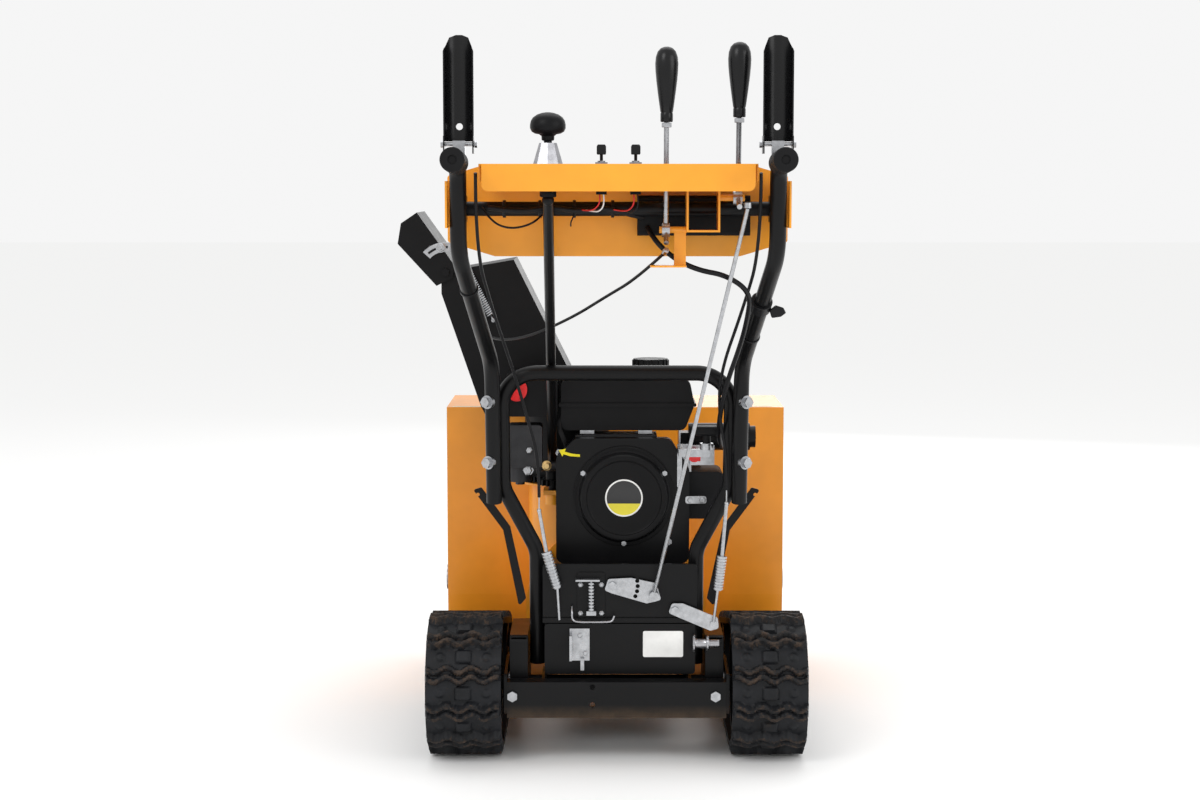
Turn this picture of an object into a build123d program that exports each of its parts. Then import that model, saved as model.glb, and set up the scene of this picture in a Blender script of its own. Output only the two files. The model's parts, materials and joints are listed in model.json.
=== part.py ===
from build123d import *
import os
from math import acos, atan2, cos, degrees, hypot, radians, sin

# Two-stage tracked snow blower.  Millimetres.  X to the operator's right, Y forward to the
# auger, Z up.  The origin is the centre of the scraper bar's bottom face, on the ground.

# ---- driving dimensions -------------------------------------------------------------------
GAP = 0.4                     # clearance between curved faces of different bodies

HOUSING_WIDTH = 626.0         # outside width of the auger housing
HOUSING_TOP = 542.0
HOUSING_BACK = -105.0         # rear wall of the auger housing
HOUSING_FRONT = 245.0
SHEET = 3.0                   # housing sheet

AUGER_Y, AUGER_Z = 70.0, 190.0
AUGER_RADIUS = 152.0
IMPELLER_Z = 195.0
DRUM_RADIUS = 161.0           # outside of the impeller drum
DRUM_BACK = -278.0

CHUTE_X, CHUTE_Y = -88.0, -208.0
SPOUT_RADIUS = 69.0
SPOUT_TOP = 422.0
RING_TEETH, PINION_TEETH = 60, 12
GEAR_MODULE = 95.0 * 2 / 60
RING_Z, RING_THICK = 426.0, 10.0

CRANK_X, CRANK_Z = 13.0, 424.0     # engine crankshaft and recoil starter
CAP_Y = -356.0                # fuel filler
ENGINE_BASE = 300.0

TRACK_IN, TRACK_OUT = 190.0, 314.0
REAR_WHEEL_Y, REAR_WHEEL_Z = -525.0, 120.0
FRONT_WHEEL_Y, FRONT_WHEEL_Z = -222.0, 90.0
TRACK_THICK = 22.0            # belt and lug together
LUG_HEIGHT = 12.0
LUG_PITCH = 60.0

FRAME_HALF = 120.0            # half width over the tractor frame's side plates
FRAME_REAR = -545.0
FRAME_FRONT = -341.0
TUBE_R, TUBE_WALL = 12.7, 2.0

GRIP_X, GRIP_Z, GRIP_END = 235.0, 990.0, -1045.0
GRIP_R = 18.0
PANEL_Z = 985.0
PANEL_HALF = 205.0
SKIRT_HALF = 263.0
SKIRT_Y = -745.0

KNOB_X, KNOB_Y = -104.0, -888.0
ROD_TOP = (KNOB_X, KNOB_Y, 932.0)
ROD_LOW_Z = 466.0             # ball at the rod's lower end, over the pinion
TILT_X, TILT_Y, TILT_Z = 72.0, -845.0, 887.0      # tilt lever pivot
SPEED_X, SPEED_Y, SPEED_Z = 180.0, -845.0, 935.0  # speed lever pivot

os.makedirs("parts", exist_ok=True)


# ---- helpers ------------------------------------------------------------------------------
def plane_xz(y=0.0):
    """Sketch plane with local x = X and local y = Z.  Extruding goes towards -Y."""
    return Plane(origin=(0, y, 0), x_dir=(1, 0, 0), z_dir=(0, -1, 0))


def plane_yz(x=0.0):
    """Sketch plane with local x = Y and local y = Z.  Extruding goes towards +X."""
    return Plane(origin=(x, 0, 0), x_dir=(0, 1, 0), z_dir=(1, 0, 0))


def outline(points, corner=0.0):
    """Closed outline through the points, facing up from its plane, with rounded corners."""
    doubled_area = sum(a[0] * b[1] - b[0] * a[1] for a, b in zip(points, points[1:] + points[:1]))
    shape = Polygon(*(points if doubled_area > 0 else points[::-1]), align=None)
    if corner:
        shape = fillet(shape.vertices(), corner)
    return shape


def slab(plane, points, depth, corner=0.0):
    """A plate of constant thickness with the given outline."""
    return extrude(plane * outline(points, corner), amount=depth)


def block(x, y, z):
    """A box given by its low and high limits along each axis."""
    size = [high - low for low, high in (x, y, z)]
    centre = [(high + low) / 2 for low, high in (x, y, z)]
    return Pos(*centre) * Box(*size)


def soft_block(x, y, z, corner, edges=Axis.Y):
    """A box with the edges along one axis rounded."""
    body = block(x, y, z)
    return fillet(body.edges().filter_by(edges), corner)


def rod(start, end, radius, bore=0.0):
    """A round bar, or a tube when it has a bore, from one point to another."""
    axis = Vector(*end) - Vector(*start)
    section = Circle(radius)
    if bore:
        section -= Circle(bore)
    return extrude(Plane(origin=start, z_dir=axis) * section, amount=axis.length)


def bent(points, corner, radius, bore=0.0):
    """A round bar or tube along straight runs joined by arcs."""
    path = FilletPolyline(*points, radius=corner)
    section = Circle(radius)
    if bore:
        section -= Circle(bore)
    return sweep(Plane(origin=path @ 0, z_dir=path % 0) * section, path=path)


def hexagon(centre, axis, across, depth):
    """A hexagonal head or nut, sitting on centre and standing along axis."""
    section = RegularPolygon(across / 2, 6, major_radius=False)
    return extrude(Plane(origin=centre, z_dir=axis) * section, amount=depth)


def bolt(seat, axis, size, shank):
    """Hexagon bolt: the head stands on seat along axis, the shank goes the other way."""
    tail = Vector(*seat) - Vector(*axis).normalized() * shank
    return hexagon(seat, axis, size * 1.6, size * 0.65) + rod(tail, seat, size / 2)


def group(pieces):
    """Several separate solids written as one node."""
    return Compound(children=[solid for piece in pieces for solid in piece.solids()])


def save(node, shape):
    """Write one sub-part."""
    export_step(shape, f"parts/{node}.step")


# ---- auger housing ------------------------------------------------------------------------
def housing_side_face():
    """Side view of the auger housing, in Y and Z."""
    back = HOUSING_BACK - SHEET
    edges = [
        Line((0, 8), (215, 8)), Line((215, 8), (HOUSING_FRONT, 60)),
        Line((HOUSING_FRONT, 60), (HOUSING_FRONT, 455)), Line((HOUSING_FRONT, 455), (120, HOUSING_TOP)),
        Line((120, HOUSING_TOP), (back, HOUSING_TOP)), Line((back, HOUSING_TOP), (back, 190)),
        ThreePointArc((back, 190), (-64, 66), (0, 8)),
    ]
    return make_face(edges)


def auger_housing():
    """Bucket, impeller drum and discharge spout, welded into one piece."""
    half = HOUSING_WIDTH / 2
    side = housing_side_face()
    wrap = side - offset(side, -SHEET) - Pos(210, 270) * Rectangle(110, 600)
    wrap -= Pos(150, 40) * Rectangle(240, 80)
    shell = extrude(plane_yz(-half) * wrap, amount=HOUSING_WIDTH)
    for x in (-half, half - SHEET):
        shell += extrude(plane_yz(x) * side, amount=SHEET)
    drum_length = HOUSING_BACK - DRUM_BACK
    drum_at = Plane(origin=(0, HOUSING_BACK, IMPELLER_Z), z_dir=(0, -1, 0))
    shell += extrude(drum_at * Circle(DRUM_RADIUS), amount=drum_length)
    spout_at = Plane(origin=(CHUTE_X, CHUTE_Y, IMPELLER_Z), z_dir=(0, 0, 1))
    shell += extrude(spout_at * Circle(SPOUT_RADIUS), amount=SPOUT_TOP - IMPELLER_Z)
    mouth = Plane(origin=(0, HOUSING_BACK + 10, IMPELLER_Z), z_dir=(0, -1, 0))
    shell -= extrude(mouth * Circle(DRUM_RADIUS - SHEET), amount=drum_length + 10 - SHEET)
    shell -= extrude(spout_at * Circle(SPOUT_RADIUS - SHEET), amount=SPOUT_TOP)
    shell += extrude(Plane(origin=(CHUTE_X, CHUTE_Y, SPOUT_TOP), z_dir=(0, 0, -1))
                     * (Circle(88) - Circle(SPOUT_RADIUS - SHEET)), amount=4)
    shaft_hole = Plane(origin=(0, DRUM_BACK - 5, IMPELLER_Z), z_dir=(0, 1, 0)) * Circle(17)
    shell -= extrude(shaft_hole, amount=20)
    shell -= rod((-half - 5, AUGER_Y, AUGER_Z), (half + 5, AUGER_Y, AUGER_Z), 14)
    return shell


def scraper_bar():
    """Replaceable bar along the bottom rear edge, bolted up through the housing's lip."""
    return soft_block((-308, 308), (-18, 24), (0, 8), 3, Axis.X)


def skid_shoe(side):
    """Adjustable runner on one side plate, with its turned-up toe and two bolts."""
    x = side * (HOUSING_WIDTH / 2 + GAP / 4)
    points = [(-20, 0), (170, 0), (205, 22), (205, 40), (120, 62), (-35, 62), (-35, 16)]
    sole = slab(plane_yz(0), points, 5)
    foot = block((0, 38), (-20, 170), (0, 6))
    shoe = sole + foot
    for y in (5, 130):
        shoe += bolt((5, y, 44), (1, 0, 0), 9, 4)
    if side < 0:
        shoe = mirror(shoe, about=Plane.YZ)
    return Pos(x, 0, 0) * shoe


def auger_bearing(side):
    """Flanged bearing on the outside of one side plate, with three bolts."""
    half = HOUSING_WIDTH / 2
    at = Plane(origin=(half, AUGER_Y, AUGER_Z), z_dir=(1, 0, 0))
    body = extrude(at * Circle(42), amount=3) + extrude(at * Circle(24), amount=14)
    body += extrude(Plane(origin=(half - 8, AUGER_Y, AUGER_Z), z_dir=(1, 0, 0)) * Circle(14), amount=8)
    body -= extrude(Plane(origin=(half - 12, AUGER_Y, AUGER_Z), z_dir=(1, 0, 0)) * Circle(10.05), amount=40)
    for turn in (90, 210, 330):
        y = AUGER_Y + 33 * cos(radians(turn))
        z = AUGER_Z + 33 * sin(radians(turn))
        body += bolt((half + 3, y, z), (1, 0, 0), 8, 2)
    return body if side > 0 else mirror(body, about=Plane.YZ)


def flight(start, turns, hand):
    """One spiral ribbon of the auger, made of flat paddles that step round the shaft."""
    steps = 8 * turns
    width = 262 / steps
    ribbon = None
    for step in range(steps):
        turn = hand * step * 45
        blade = slab(plane_yz(0), sector(100, AUGER_RADIUS, 50), width + 1.5)
        blade = Pos(start + step * width, AUGER_Y, AUGER_Z) * Rot(turn, 0, 0) * blade
        ribbon = blade if ribbon is None else ribbon + blade
    return ribbon


def sector(inner, outer, degrees_wide):
    """Points of a flat ring segment about the origin."""
    half = radians(degrees_wide / 2)
    rim = [(outer * cos(half * k / 3), outer * sin(half * k / 3)) for k in range(-3, 4)]
    core = [(inner * cos(half * k / 3), inner * sin(half * k / 3)) for k in range(3, -4, -1)]
    return rim + core


def auger(side):
    """Half of the gathering auger: a tube on the shaft, a spiral ribbon and its arms."""
    body = rod((26, AUGER_Y, AUGER_Z), (303, AUGER_Y, AUGER_Z), 16, 10)
    body += flight(34, 1, 1)
    width = 262 / 8
    for step in range(8):
        x = 34 + step * width + width / 2
        arm = Pos(x, AUGER_Y, AUGER_Z) * Rot(step * 45, 0, 0) * block((-4, 4), (14, 104), (-9, 9))
        body += arm
    return body if side > 0 else mirror(body, about=Plane.YZ)


def auger_shaft():
    """Cross shaft through both augers and the gearbox, carried by the side bearings."""
    half = HOUSING_WIDTH / 2
    return rod((-half - 12, AUGER_Y, AUGER_Z), (half + 12, AUGER_Y, AUGER_Z), 10)


def auger_gearbox():
    """Worm gear case in the middle of the auger shaft."""
    case = rod((-24, AUGER_Y, AUGER_Z), (24, AUGER_Y, AUGER_Z), 44)
    case += rod((0, AUGER_Y - 20, IMPELLER_Z), (0, -30, IMPELLER_Z), 22)
    case -= rod((-30, AUGER_Y, AUGER_Z), (30, AUGER_Y, AUGER_Z), 10.05)
    case -= rod((0, AUGER_Y - 32, IMPELLER_Z), (0, -40, IMPELLER_Z), 10.05)
    return case


def impeller():
    """Fan behind the auger: a shaft, a hub and four curved blades."""
    body = rod((0, 34, IMPELLER_Z), (0, -334, IMPELLER_Z), 10)
    body += rod((0, -130, IMPELLER_Z), (0, -263, IMPELLER_Z), 30)
    for turn in range(0, 360, 90):
        blade = block((24, 151), (-260, -132), (-2, 2)) + block((135, 151), (-260, -132), (-2, 16))
        blade += block((24, 140), (-264, -260), (-2, 24))
        body += Pos(0, 0, IMPELLER_Z) * Rot(0, turn, 0) * blade
    return body


def impeller_bearing():
    """Flanged bearing for the impeller shaft on the back of the drum."""
    at = Plane(origin=(0, DRUM_BACK, IMPELLER_Z), z_dir=(0, -1, 0))
    body = extrude(at * Circle(40), amount=4) + extrude(at * Circle(22), amount=16)
    return body - extrude(at * Circle(10.05), amount=30)


# ---- discharge chute ----------------------------------------------------------------------
def gear(teeth, module, thick, bore):
    """Spur gear lying in the XY plane, with straight-sided teeth and running clearance."""
    root = module * (teeth / 2 - 1.25)
    tip = module * (teeth / 2 + 0.9)
    pitch = 360 / teeth
    wheel = Circle(root)
    low, high = radians(pitch * 0.29), radians(pitch * 0.13)
    tooth = outline([(root - 1, -(root - 1) * low), (tip, -tip * high), (tip, tip * high),
                     (root - 1, (root - 1) * low)])
    wheel += [Rot(0, 0, k * pitch) * tooth for k in range(teeth)]
    return extrude(wheel - Circle(bore), amount=thick)


def chute():
    """Turning chute: a toothed ring, a round collar and a channel leaning to its open side."""
    ring = Pos(CHUTE_X, CHUTE_Y, RING_Z) * gear(RING_TEETH, GEAR_MODULE, RING_THICK, 68)
    collar = Plane(origin=(CHUTE_X, CHUTE_Y, RING_Z), z_dir=(0, 0, 1))
    body = ring + extrude(collar * (Circle(76) - Circle(71)), amount=130)
    half, wall = 78.0, 3.0
    side = [(-43, 548), (-82, 625), (-180, 822), (-308, 800), (-308, 762), (-239, 561), (-232, 548)]
    outer = slab(plane_xz(CHUTE_Y + half), side, 2 * half)
    hollow = [(-46, 540), (-86, 625), (-183.5, 817), (-312, 795), (-420, 795), (-420, 540)]
    inner = slab(plane_xz(CHUTE_Y + half - wall), hollow, 2 * (half - wall))
    body += outer - inner
    body -= extrude(collar * Circle(71), amount=150)
    for y in (CHUTE_Y - half - wall, CHUTE_Y + half):
        body += Pos(-300, y + wall / 2, 800) * Rot(90, 0, 0) * Cylinder(11, wall)
    return body - rod((-300, CHUTE_Y - 90, 800), (-300, CHUTE_Y + 90, 800), 4.05)


def deflector():
    """Hood hinged on the chute's outer lip that aims the snow up or down."""
    half, wall = 82.0, 2.5
    side = [(-316, 776), (-288, 790), (-284, 812), (-350, 905), (-378, 886), (-384, 850)]
    body = slab(plane_xz(CHUTE_Y + half + wall), side, 2 * (half + wall))
    hollow = [(-286, 810.6), (-352, 903.6), (-420, 900), (-420, 740), (-250, 740), (-250, 800)]
    body -= slab(plane_xz(CHUTE_Y + half), hollow, 2 * half)
    return body - rod((-300, CHUTE_Y - 90, 800), (-300, CHUTE_Y + 90, 800), 4.05)


def deflector_pins():
    """Two shouldered bolts that the deflector turns on."""
    pins = []
    for side in (-1, 1):
        y = CHUTE_Y + side * 85.2
        tail = (-300, CHUTE_Y + side * 74, 800)
        pins.append(rod(tail, (-300, y, 800), 4) + hexagon((-300, y, 800), (0, side, 0), 13, 5))
    return group(pins)


def chute_pinion():
    """Upright drive pinion that turns the chute's ring, with a cup for the control rod."""
    x, y = pinion_centre()
    turn = degrees(atan2(y - CHUTE_Y, x - CHUTE_X)) + 180 / PINION_TEETH
    body = Pos(x, y, RING_Z) * Rot(0, 0, turn) * gear(PINION_TEETH, GEAR_MODULE, RING_THICK, 0.001)
    body += rod((x, y, 396), (x, y, RING_Z + 1), 7)
    body += rod((x, y, RING_Z + RING_THICK), (x, y, ROD_LOW_Z - 5), 12)
    return body - Pos(x, y, ROD_LOW_Z) * Sphere(9.5)


def pinion_centre():
    """The pinion stands behind the chute ring, at the gears' centre distance."""
    distance = GEAR_MODULE * (RING_TEETH + PINION_TEETH) / 2
    turn = radians(258)
    return CHUTE_X + distance * cos(turn), CHUTE_Y + distance * sin(turn)


def pinion_bracket():
    """Bracket on the spout flange that carries the pinion shaft."""
    x, y = pinion_centre()
    body = block((x - 16, x + 16), (y - 16, CHUTE_Y - 74), (410, 418)) + rod((x, y, 392), (x, y, 418), 13)
    return body - rod((x, y, 390), (x, y, 424), 7.05)


def chute_rod():
    """Long rod from the panel knob down to the pinion, with a ball at each end."""
    x, y = pinion_centre()
    low = (x, y, ROD_LOW_Z)
    return rod(low, ROD_TOP, 8) + Pos(*low) * Sphere(9) + Pos(*ROD_TOP) * Sphere(9)


def chute_knob():
    """Mushroom-shaped hand knob with a shaft through its cone and a cup on the rod's ball."""
    axis = Plane(origin=(KNOB_X, KNOB_Y, 0), x_dir=(1, 0, 0), z_dir=(0, 0, 1))
    profile = [(0, 1020), (9, 1020), (9, 1028), (20, 1030), (26.5, 1040), (25, 1052), (14, 1060), (0, 1061)]
    side = Plane(origin=(KNOB_X, KNOB_Y, 0), x_dir=(1, 0, 0), z_dir=(0, -1, 0))
    top = revolve(side * Polygon(*profile, align=None), axis=Axis((KNOB_X, KNOB_Y, 0), (0, 0, 1)))
    body = top + extrude(axis.offset(946) * Circle(6), amount=76)
    body += extrude(axis.offset(936) * Circle(12.5), amount=14)
    return body - Pos(*ROD_TOP) * Sphere(9.5)


def knob_cone():
    """Faceted cone on the panel that the knob's shaft turns in."""
    base = Plane(origin=(KNOB_X, KNOB_Y, PANEL_Z), z_dir=(0, 0, 1))
    low = base * RegularPolygon(22, 8)
    high = base.offset(31) * RegularPolygon(13, 8)
    return loft([low.face(), high.face()]) - extrude(base * Circle(6.05), amount=40)


# ---- tracks and tractor frame -------------------------------------------------------------
def tangent_points(rear, front):
    """Where the loop's straight runs touch the two wheels: rear and front, top then bottom."""
    along = atan2(FRONT_WHEEL_Z - REAR_WHEEL_Z, FRONT_WHEEL_Y - REAR_WHEEL_Y)
    reach = hypot(FRONT_WHEEL_Z - REAR_WHEEL_Z, FRONT_WHEEL_Y - REAR_WHEEL_Y)
    swing = acos((rear - front) / reach)
    points = []
    for hand in (1, -1):
        turn = along + hand * swing
        points.append((REAR_WHEEL_Y + rear * cos(turn), REAR_WHEEL_Z + rear * sin(turn)))
        points.append((FRONT_WHEEL_Y + front * cos(turn), FRONT_WHEEL_Z + front * sin(turn)))
    return points


def track_loop(rear, front):
    """Side view of a filled loop round both wheels, in Y and Z."""
    top_rear, top_front, low_rear, low_front = tangent_points(rear, front)
    loop = Pos(REAR_WHEEL_Y, REAR_WHEEL_Z) * Circle(rear)
    loop += Pos(FRONT_WHEEL_Y, FRONT_WHEEL_Z) * Circle(front)
    return loop + outline([top_rear, top_front, low_front, low_rear])


def loop_stations(rear, front, pitch):
    """Evenly spaced places along the loop, as (Y, Z, direction of travel in degrees)."""
    wire = track_loop(rear, front).face().outer_wire()
    count = round(wire.length / pitch)
    places = []
    for k in range(count):
        point = wire @ (k / count)
        along = wire % (k / count)
        places.append((point.X, point.Y, degrees(atan2(along.Y, along.X))))
    return places


def track_belt(side):
    """Moulded rubber belt with a raised bar across it at every pitch."""
    rear, front = REAR_WHEEL_Z, FRONT_WHEEL_Z
    belt = track_loop(rear - LUG_HEIGHT, front - LUG_HEIGHT)
    belt -= track_loop(rear - TRACK_THICK, front - TRACK_THICK)
    body = extrude(plane_yz(TRACK_IN) * belt, amount=TRACK_OUT - TRACK_IN)
    bar = outline([(-12, -1.5), (12, -1.5), (7, LUG_HEIGHT - 0.01), (-7, LUG_HEIGHT - 0.01)])
    bars = []
    for y, z, turn in loop_stations(rear - LUG_HEIGHT, front - LUG_HEIGHT, LUG_PITCH):
        out = turn if inside_is_left(turn, y, z) else turn + 180
        bars.append(plane_yz(TRACK_IN) * Pos(y, z) * Rot(0, 0, out) * bar)
    for section in bars:
        body += extrude(section, amount=TRACK_OUT - TRACK_IN)
    body &= extrude(plane_yz(TRACK_IN) * track_loop(rear, front), amount=TRACK_OUT - TRACK_IN)
    return body if side > 0 else mirror(body, about=Plane.YZ)


def inside_is_left(turn, y, z):
    """True when turning a bar by this angle makes it stand outwards from the loop."""
    middle_y, middle_z = (REAR_WHEEL_Y + FRONT_WHEEL_Y) / 2, (REAR_WHEEL_Z + FRONT_WHEEL_Z) / 2
    up_y, up_z = -sin(radians(turn)), cos(radians(turn))
    return up_y * (y - middle_y) + up_z * (z - middle_z) > 0


def track_wheel(y, z, radius, side, bore):
    """Moulded wheel inside the belt: a rim, a web with lightening holes and a hub."""
    at = plane_yz(TRACK_IN + 6)
    rim = Circle(radius) - Circle(radius - 12)
    web = Circle(radius - 11) - Circle(bore)
    holes = [Rot(0, 0, k * 60) * Pos(radius * 0.55, 0) * Circle(radius * 0.17) for k in range(6)]
    body = extrude(at * Pos(y, z) * rim, amount=TRACK_OUT - TRACK_IN - 12)
    body += extrude(plane_yz(TRACK_IN + 50) * Pos(y, z) * (web - holes), amount=12)
    body += extrude(at * Pos(y, z) * (Circle(24) - Circle(bore)), amount=TRACK_OUT - TRACK_IN - 12)
    return body if side > 0 else mirror(body, about=Plane.YZ)


def track_plate(side):
    """Inner side plate of one track: carries the drive axle and the front wheel's stub axle."""
    points = [(-604, 84), (-604, 150), (-500, 160), (-222, 116), (-200, 90), (-222, 64), (-480, 76)]
    body = slab(plane_yz(181), points, 5, 8) - rod((170, REAR_WHEEL_Y, REAR_WHEEL_Z),
                                                   (190, REAR_WHEEL_Y, REAR_WHEEL_Z), 17)
    body += rod((182, FRONT_WHEEL_Y, FRONT_WHEEL_Z), (TRACK_OUT, FRONT_WHEEL_Y, FRONT_WHEEL_Z), 10)
    return body if side > 0 else mirror(body, about=Plane.YZ)


def rear_wheel(side):
    """Driven wheel, keyed to the axle."""
    return track_wheel(REAR_WHEEL_Y, REAR_WHEEL_Z, REAR_WHEEL_Z - TRACK_THICK - GAP, side, 12.5)


def front_wheel(side):
    """Idler wheel, free on its stub axle."""
    return track_wheel(FRONT_WHEEL_Y, FRONT_WHEEL_Z, FRONT_WHEEL_Z - TRACK_THICK - GAP, side, 10.05)


def axle_bearing(side):
    """Bush in one track plate that the drive axle turns in."""
    body = rod((179, REAR_WHEEL_Y, REAR_WHEEL_Z), (188, REAR_WHEEL_Y, REAR_WHEEL_Z), 17, 12.55)
    return body if side > 0 else mirror(body, about=Plane.YZ)


def drive_axle():
    """Cross axle that both rear track wheels are keyed to."""
    end = TRACK_OUT + 2
    return rod((-end, REAR_WHEEL_Y, REAR_WHEEL_Z), (end, REAR_WHEEL_Y, REAR_WHEEL_Z), 12.5)


def tractor_frame():
    """Sheet box under the engine: two sides, a top and a front wall."""
    half, sheet = FRAME_HALF, 3.0
    side = [(FRAME_REAR, 92), (FRAME_REAR, ENGINE_BASE), (DRUM_BACK, ENGINE_BASE), (DRUM_BACK, 120),
            (DRUM_BACK - 30, 92)]
    body = slab(plane_yz(-half), side, sheet) + slab(plane_yz(half - sheet), side, sheet)
    body += block((-half, half), (FRAME_REAR, FRAME_FRONT), (ENGINE_BASE - sheet, ENGINE_BASE))
    body += block((-half, half), (FRAME_FRONT - sheet, FRAME_FRONT), (92, ENGINE_BASE))
    body -= rod((-half - 5, REAR_WHEEL_Y, REAR_WHEEL_Z), (half + 5, REAR_WHEEL_Y, REAR_WHEEL_Z), 14)
    return body


def rear_beam():
    """Folded channel that ties the two tracks together behind the frame."""
    body = block((-181, 181), (-605, -575), (78, 138))
    body -= block((-182, 182), (-602, -570), (90, 135))
    for z in (130, 100):
        body -= rod((-40, -610, z), (-40, -595, z), 4.5)
    for x in (-172, 163):
        body -= rod((x, -610, 115), (x, -590, 115), 5)
    return body


def frame_ties():
    """Two straps from the frame's sides back to the rear beam."""
    ties = []
    for side in (-1, 1):
        x = side * (FRAME_HALF + 2.5)
        ties.append(block((x - 2.5, x + 2.5), (-602, -470), (94, 134.8))
                    - rod((x - 5, REAR_WHEEL_Y, REAR_WHEEL_Z), (x + 5, REAR_WHEEL_Y, REAR_WHEEL_Z), 13.2))
    return group(ties)


def rear_cover():
    """Upper closing panel of the frame, a shallow pan with a rolled lower edge."""
    y = FRAME_REAR
    body = soft_block((-123, 134), (y - 9, y), (232, 326), 6)
    body -= block((-119, 130), (y - 6, y + 1), (236, 322))
    return body + block((-123, 134), (y - 13, y - 8), (228, 236))


def lower_cover():
    """Lower closing panel, held with a ledge under the upper one."""
    y = FRAME_REAR
    body = soft_block((-120, 131), (y - 12, y), (141, 226), 6)
    body -= block((-116, 127), (y - 9, y + 1), (145, 222))
    return body


def final_drive(side):
    """Closed reduction case beside the frame, round the axle."""
    x = (148, 178)
    body = soft_block(x, (-562, -400), (86, 206), 14, Axis.X)
    body -= block((150.5, 175.5), (-559, -403), (89, 203))
    body -= rod((140, REAR_WHEEL_Y, REAR_WHEEL_Z), (180, REAR_WHEEL_Y, REAR_WHEEL_Z), 14)
    return body if side > 0 else mirror(body, about=Plane.YZ)


def idler_wheel_axles():
    """Washers and nuts that keep the front wheels on their stub axles."""
    caps = []
    for side in (-1, 1):
        start = side * (TRACK_OUT + 0.0)
        end = start + side * 2
        caps.append(rod((start, FRONT_WHEEL_Y, FRONT_WHEEL_Z), (end, FRONT_WHEEL_Y, FRONT_WHEEL_Z), 16))
    return group(caps)


# ---- engine -------------------------------------------------------------------------------
def engine_block():
    """Crankcase with the finned cylinder leaning up to the left."""
    body = soft_block((-62, 92), (-414, -346), (300, 480), 14)
    body += block((-80, 110), (-405, -355), (300, 308))
    for k in range(7):
        z = 486 + k * 6
        body += block((-70, 70), (-410, -350), (z, z + 3))
    body += block((-55, 55), (-402, -356), (478, 526))
    body -= rod((CRANK_X, -340, CRANK_Z), (CRANK_X, -420, CRANK_Z), 12.5)
    return body


def crankshaft():
    """Crankshaft with its fan plate behind and the two-groove pulley in front."""
    body = rod((CRANK_X, -308, CRANK_Z), (CRANK_X, -440, CRANK_Z), 12)
    body += rod((CRANK_X, -424, CRANK_Z), (CRANK_X, -430, CRANK_Z), 70)
    return body + pulley(CRANK_X, CRANK_Z, 32)


def pulley(x, z, radius):
    """V-grooved pulley in the belt cover, turning about Y."""
    profile = [(0, -314), (radius, -314), (radius, -317), (radius - 10, -319), (radius - 10, -325),
               (radius, -327), (radius, -330), (0, -330)]
    side = Plane(origin=(x, 0, z), x_dir=(1, 0, 0), z_dir=(0, 0, 1))
    return revolve(side * Polygon(*profile, align=None), axis=Axis((x, 0, z), (0, 1, 0)))


def auger_belt():
    """V-belt from the engine down to the impeller pulley."""
    top, low = 22.6, 52.6
    path = belt_loop(top + 6, low + 6) - belt_loop(top, low)
    return extrude(plane_xz(-319.6) * path, amount=4.8)


def belt_loop(top, low):
    """Front view of a filled loop round the crank pulley and the impeller pulley."""
    reach = hypot(CRANK_X, CRANK_Z - IMPELLER_Z)
    along = atan2(CRANK_Z - IMPELLER_Z, CRANK_X)
    swing = acos((low - top) / reach)
    corners = []
    for x, z, radius, hand in ((0, IMPELLER_Z, low, 1), (CRANK_X, CRANK_Z, top, 1),
                               (CRANK_X, CRANK_Z, top, -1), (0, IMPELLER_Z, low, -1)):
        turn = along + hand * swing
        corners.append((x + radius * cos(turn), z + radius * sin(turn)))
    loop = Pos(0, IMPELLER_Z) * Circle(low) + Pos(CRANK_X, CRANK_Z) * Circle(top)
    return loop + outline(corners)


def belt_cover():
    """Cover round both pulleys, open at the back against the engine."""
    outer, inner = belt_loop(52, 78), belt_loop(49, 75)
    body = extrude(plane_xz(-300) * outer, amount=36) - extrude(plane_xz(-303) * inner, amount=38)
    return body - rod((0, -295, IMPELLER_Z), (0, -310, IMPELLER_Z), 18)


def fan_shroud():
    """Blower housing over the flywheel, with rounded shoulders."""
    points = [(-103, 307), (125, 307), (125, 470), (92, 523), (-70, 523), (-103, 490)]
    body = slab(plane_xz(-415), points, 25, 14) - slab(plane_xz(-414), [
        (-99, 311), (121, 311), (121, 468), (90, 519), (-68, 519), (-99, 488)], 23, 11)
    return body - rod((CRANK_X, -430, CRANK_Z), (CRANK_X, -445, CRANK_Z), 66)


def recoil_cover():
    """Round starter housing: a flat dished disc with a raised rim."""
    at = Plane(origin=(CRANK_X, -440, CRANK_Z), z_dir=(0, -1, 0))
    body = extrude(at * Circle(86), amount=6) + extrude(at * Circle(75), amount=24)
    body += extrude(at.offset(24) * (Circle(74) - Circle(64)), amount=4)
    return body - extrude(at * Circle(70), amount=20)


def engine_screws():
    """Hexagon screws round the recoil cover and along the shroud."""
    screws = [hexagon((90, -440, 345), (0, -1, 0), 10, 4)]
    for turn in (30, 150, 270):
        x, z = CRANK_X + 80.5 * cos(radians(turn)), CRANK_Z + 80.5 * sin(radians(turn))
        screws.append(hexagon((x, -446, z), (0, -1, 0), 8, 4))
    return group(screws)


def fuel_tank():
    """Two moulded halves with a seam flange, tapered at the right."""
    points = [(-95, 533), (118, 533), (135, 577), (126, 621), (-95, 621)]
    body = slab(plane_xz(-312), points, 93, 13)
    body += slab(plane_xz(-308), [(-99, 574), (138, 574), (138, 580), (-99, 580)], 101, 2.5)
    body += rod((60, CAP_Y, 615), (60, CAP_Y, 634), 24)
    hollow = slab(plane_xz(-316), [(-91, 537), (115, 537), (131, 577), (122, 617), (-91, 617)], 85, 10)
    return body - hollow - rod((60, CAP_Y, 600), (60, CAP_Y, 640), 18)


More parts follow.
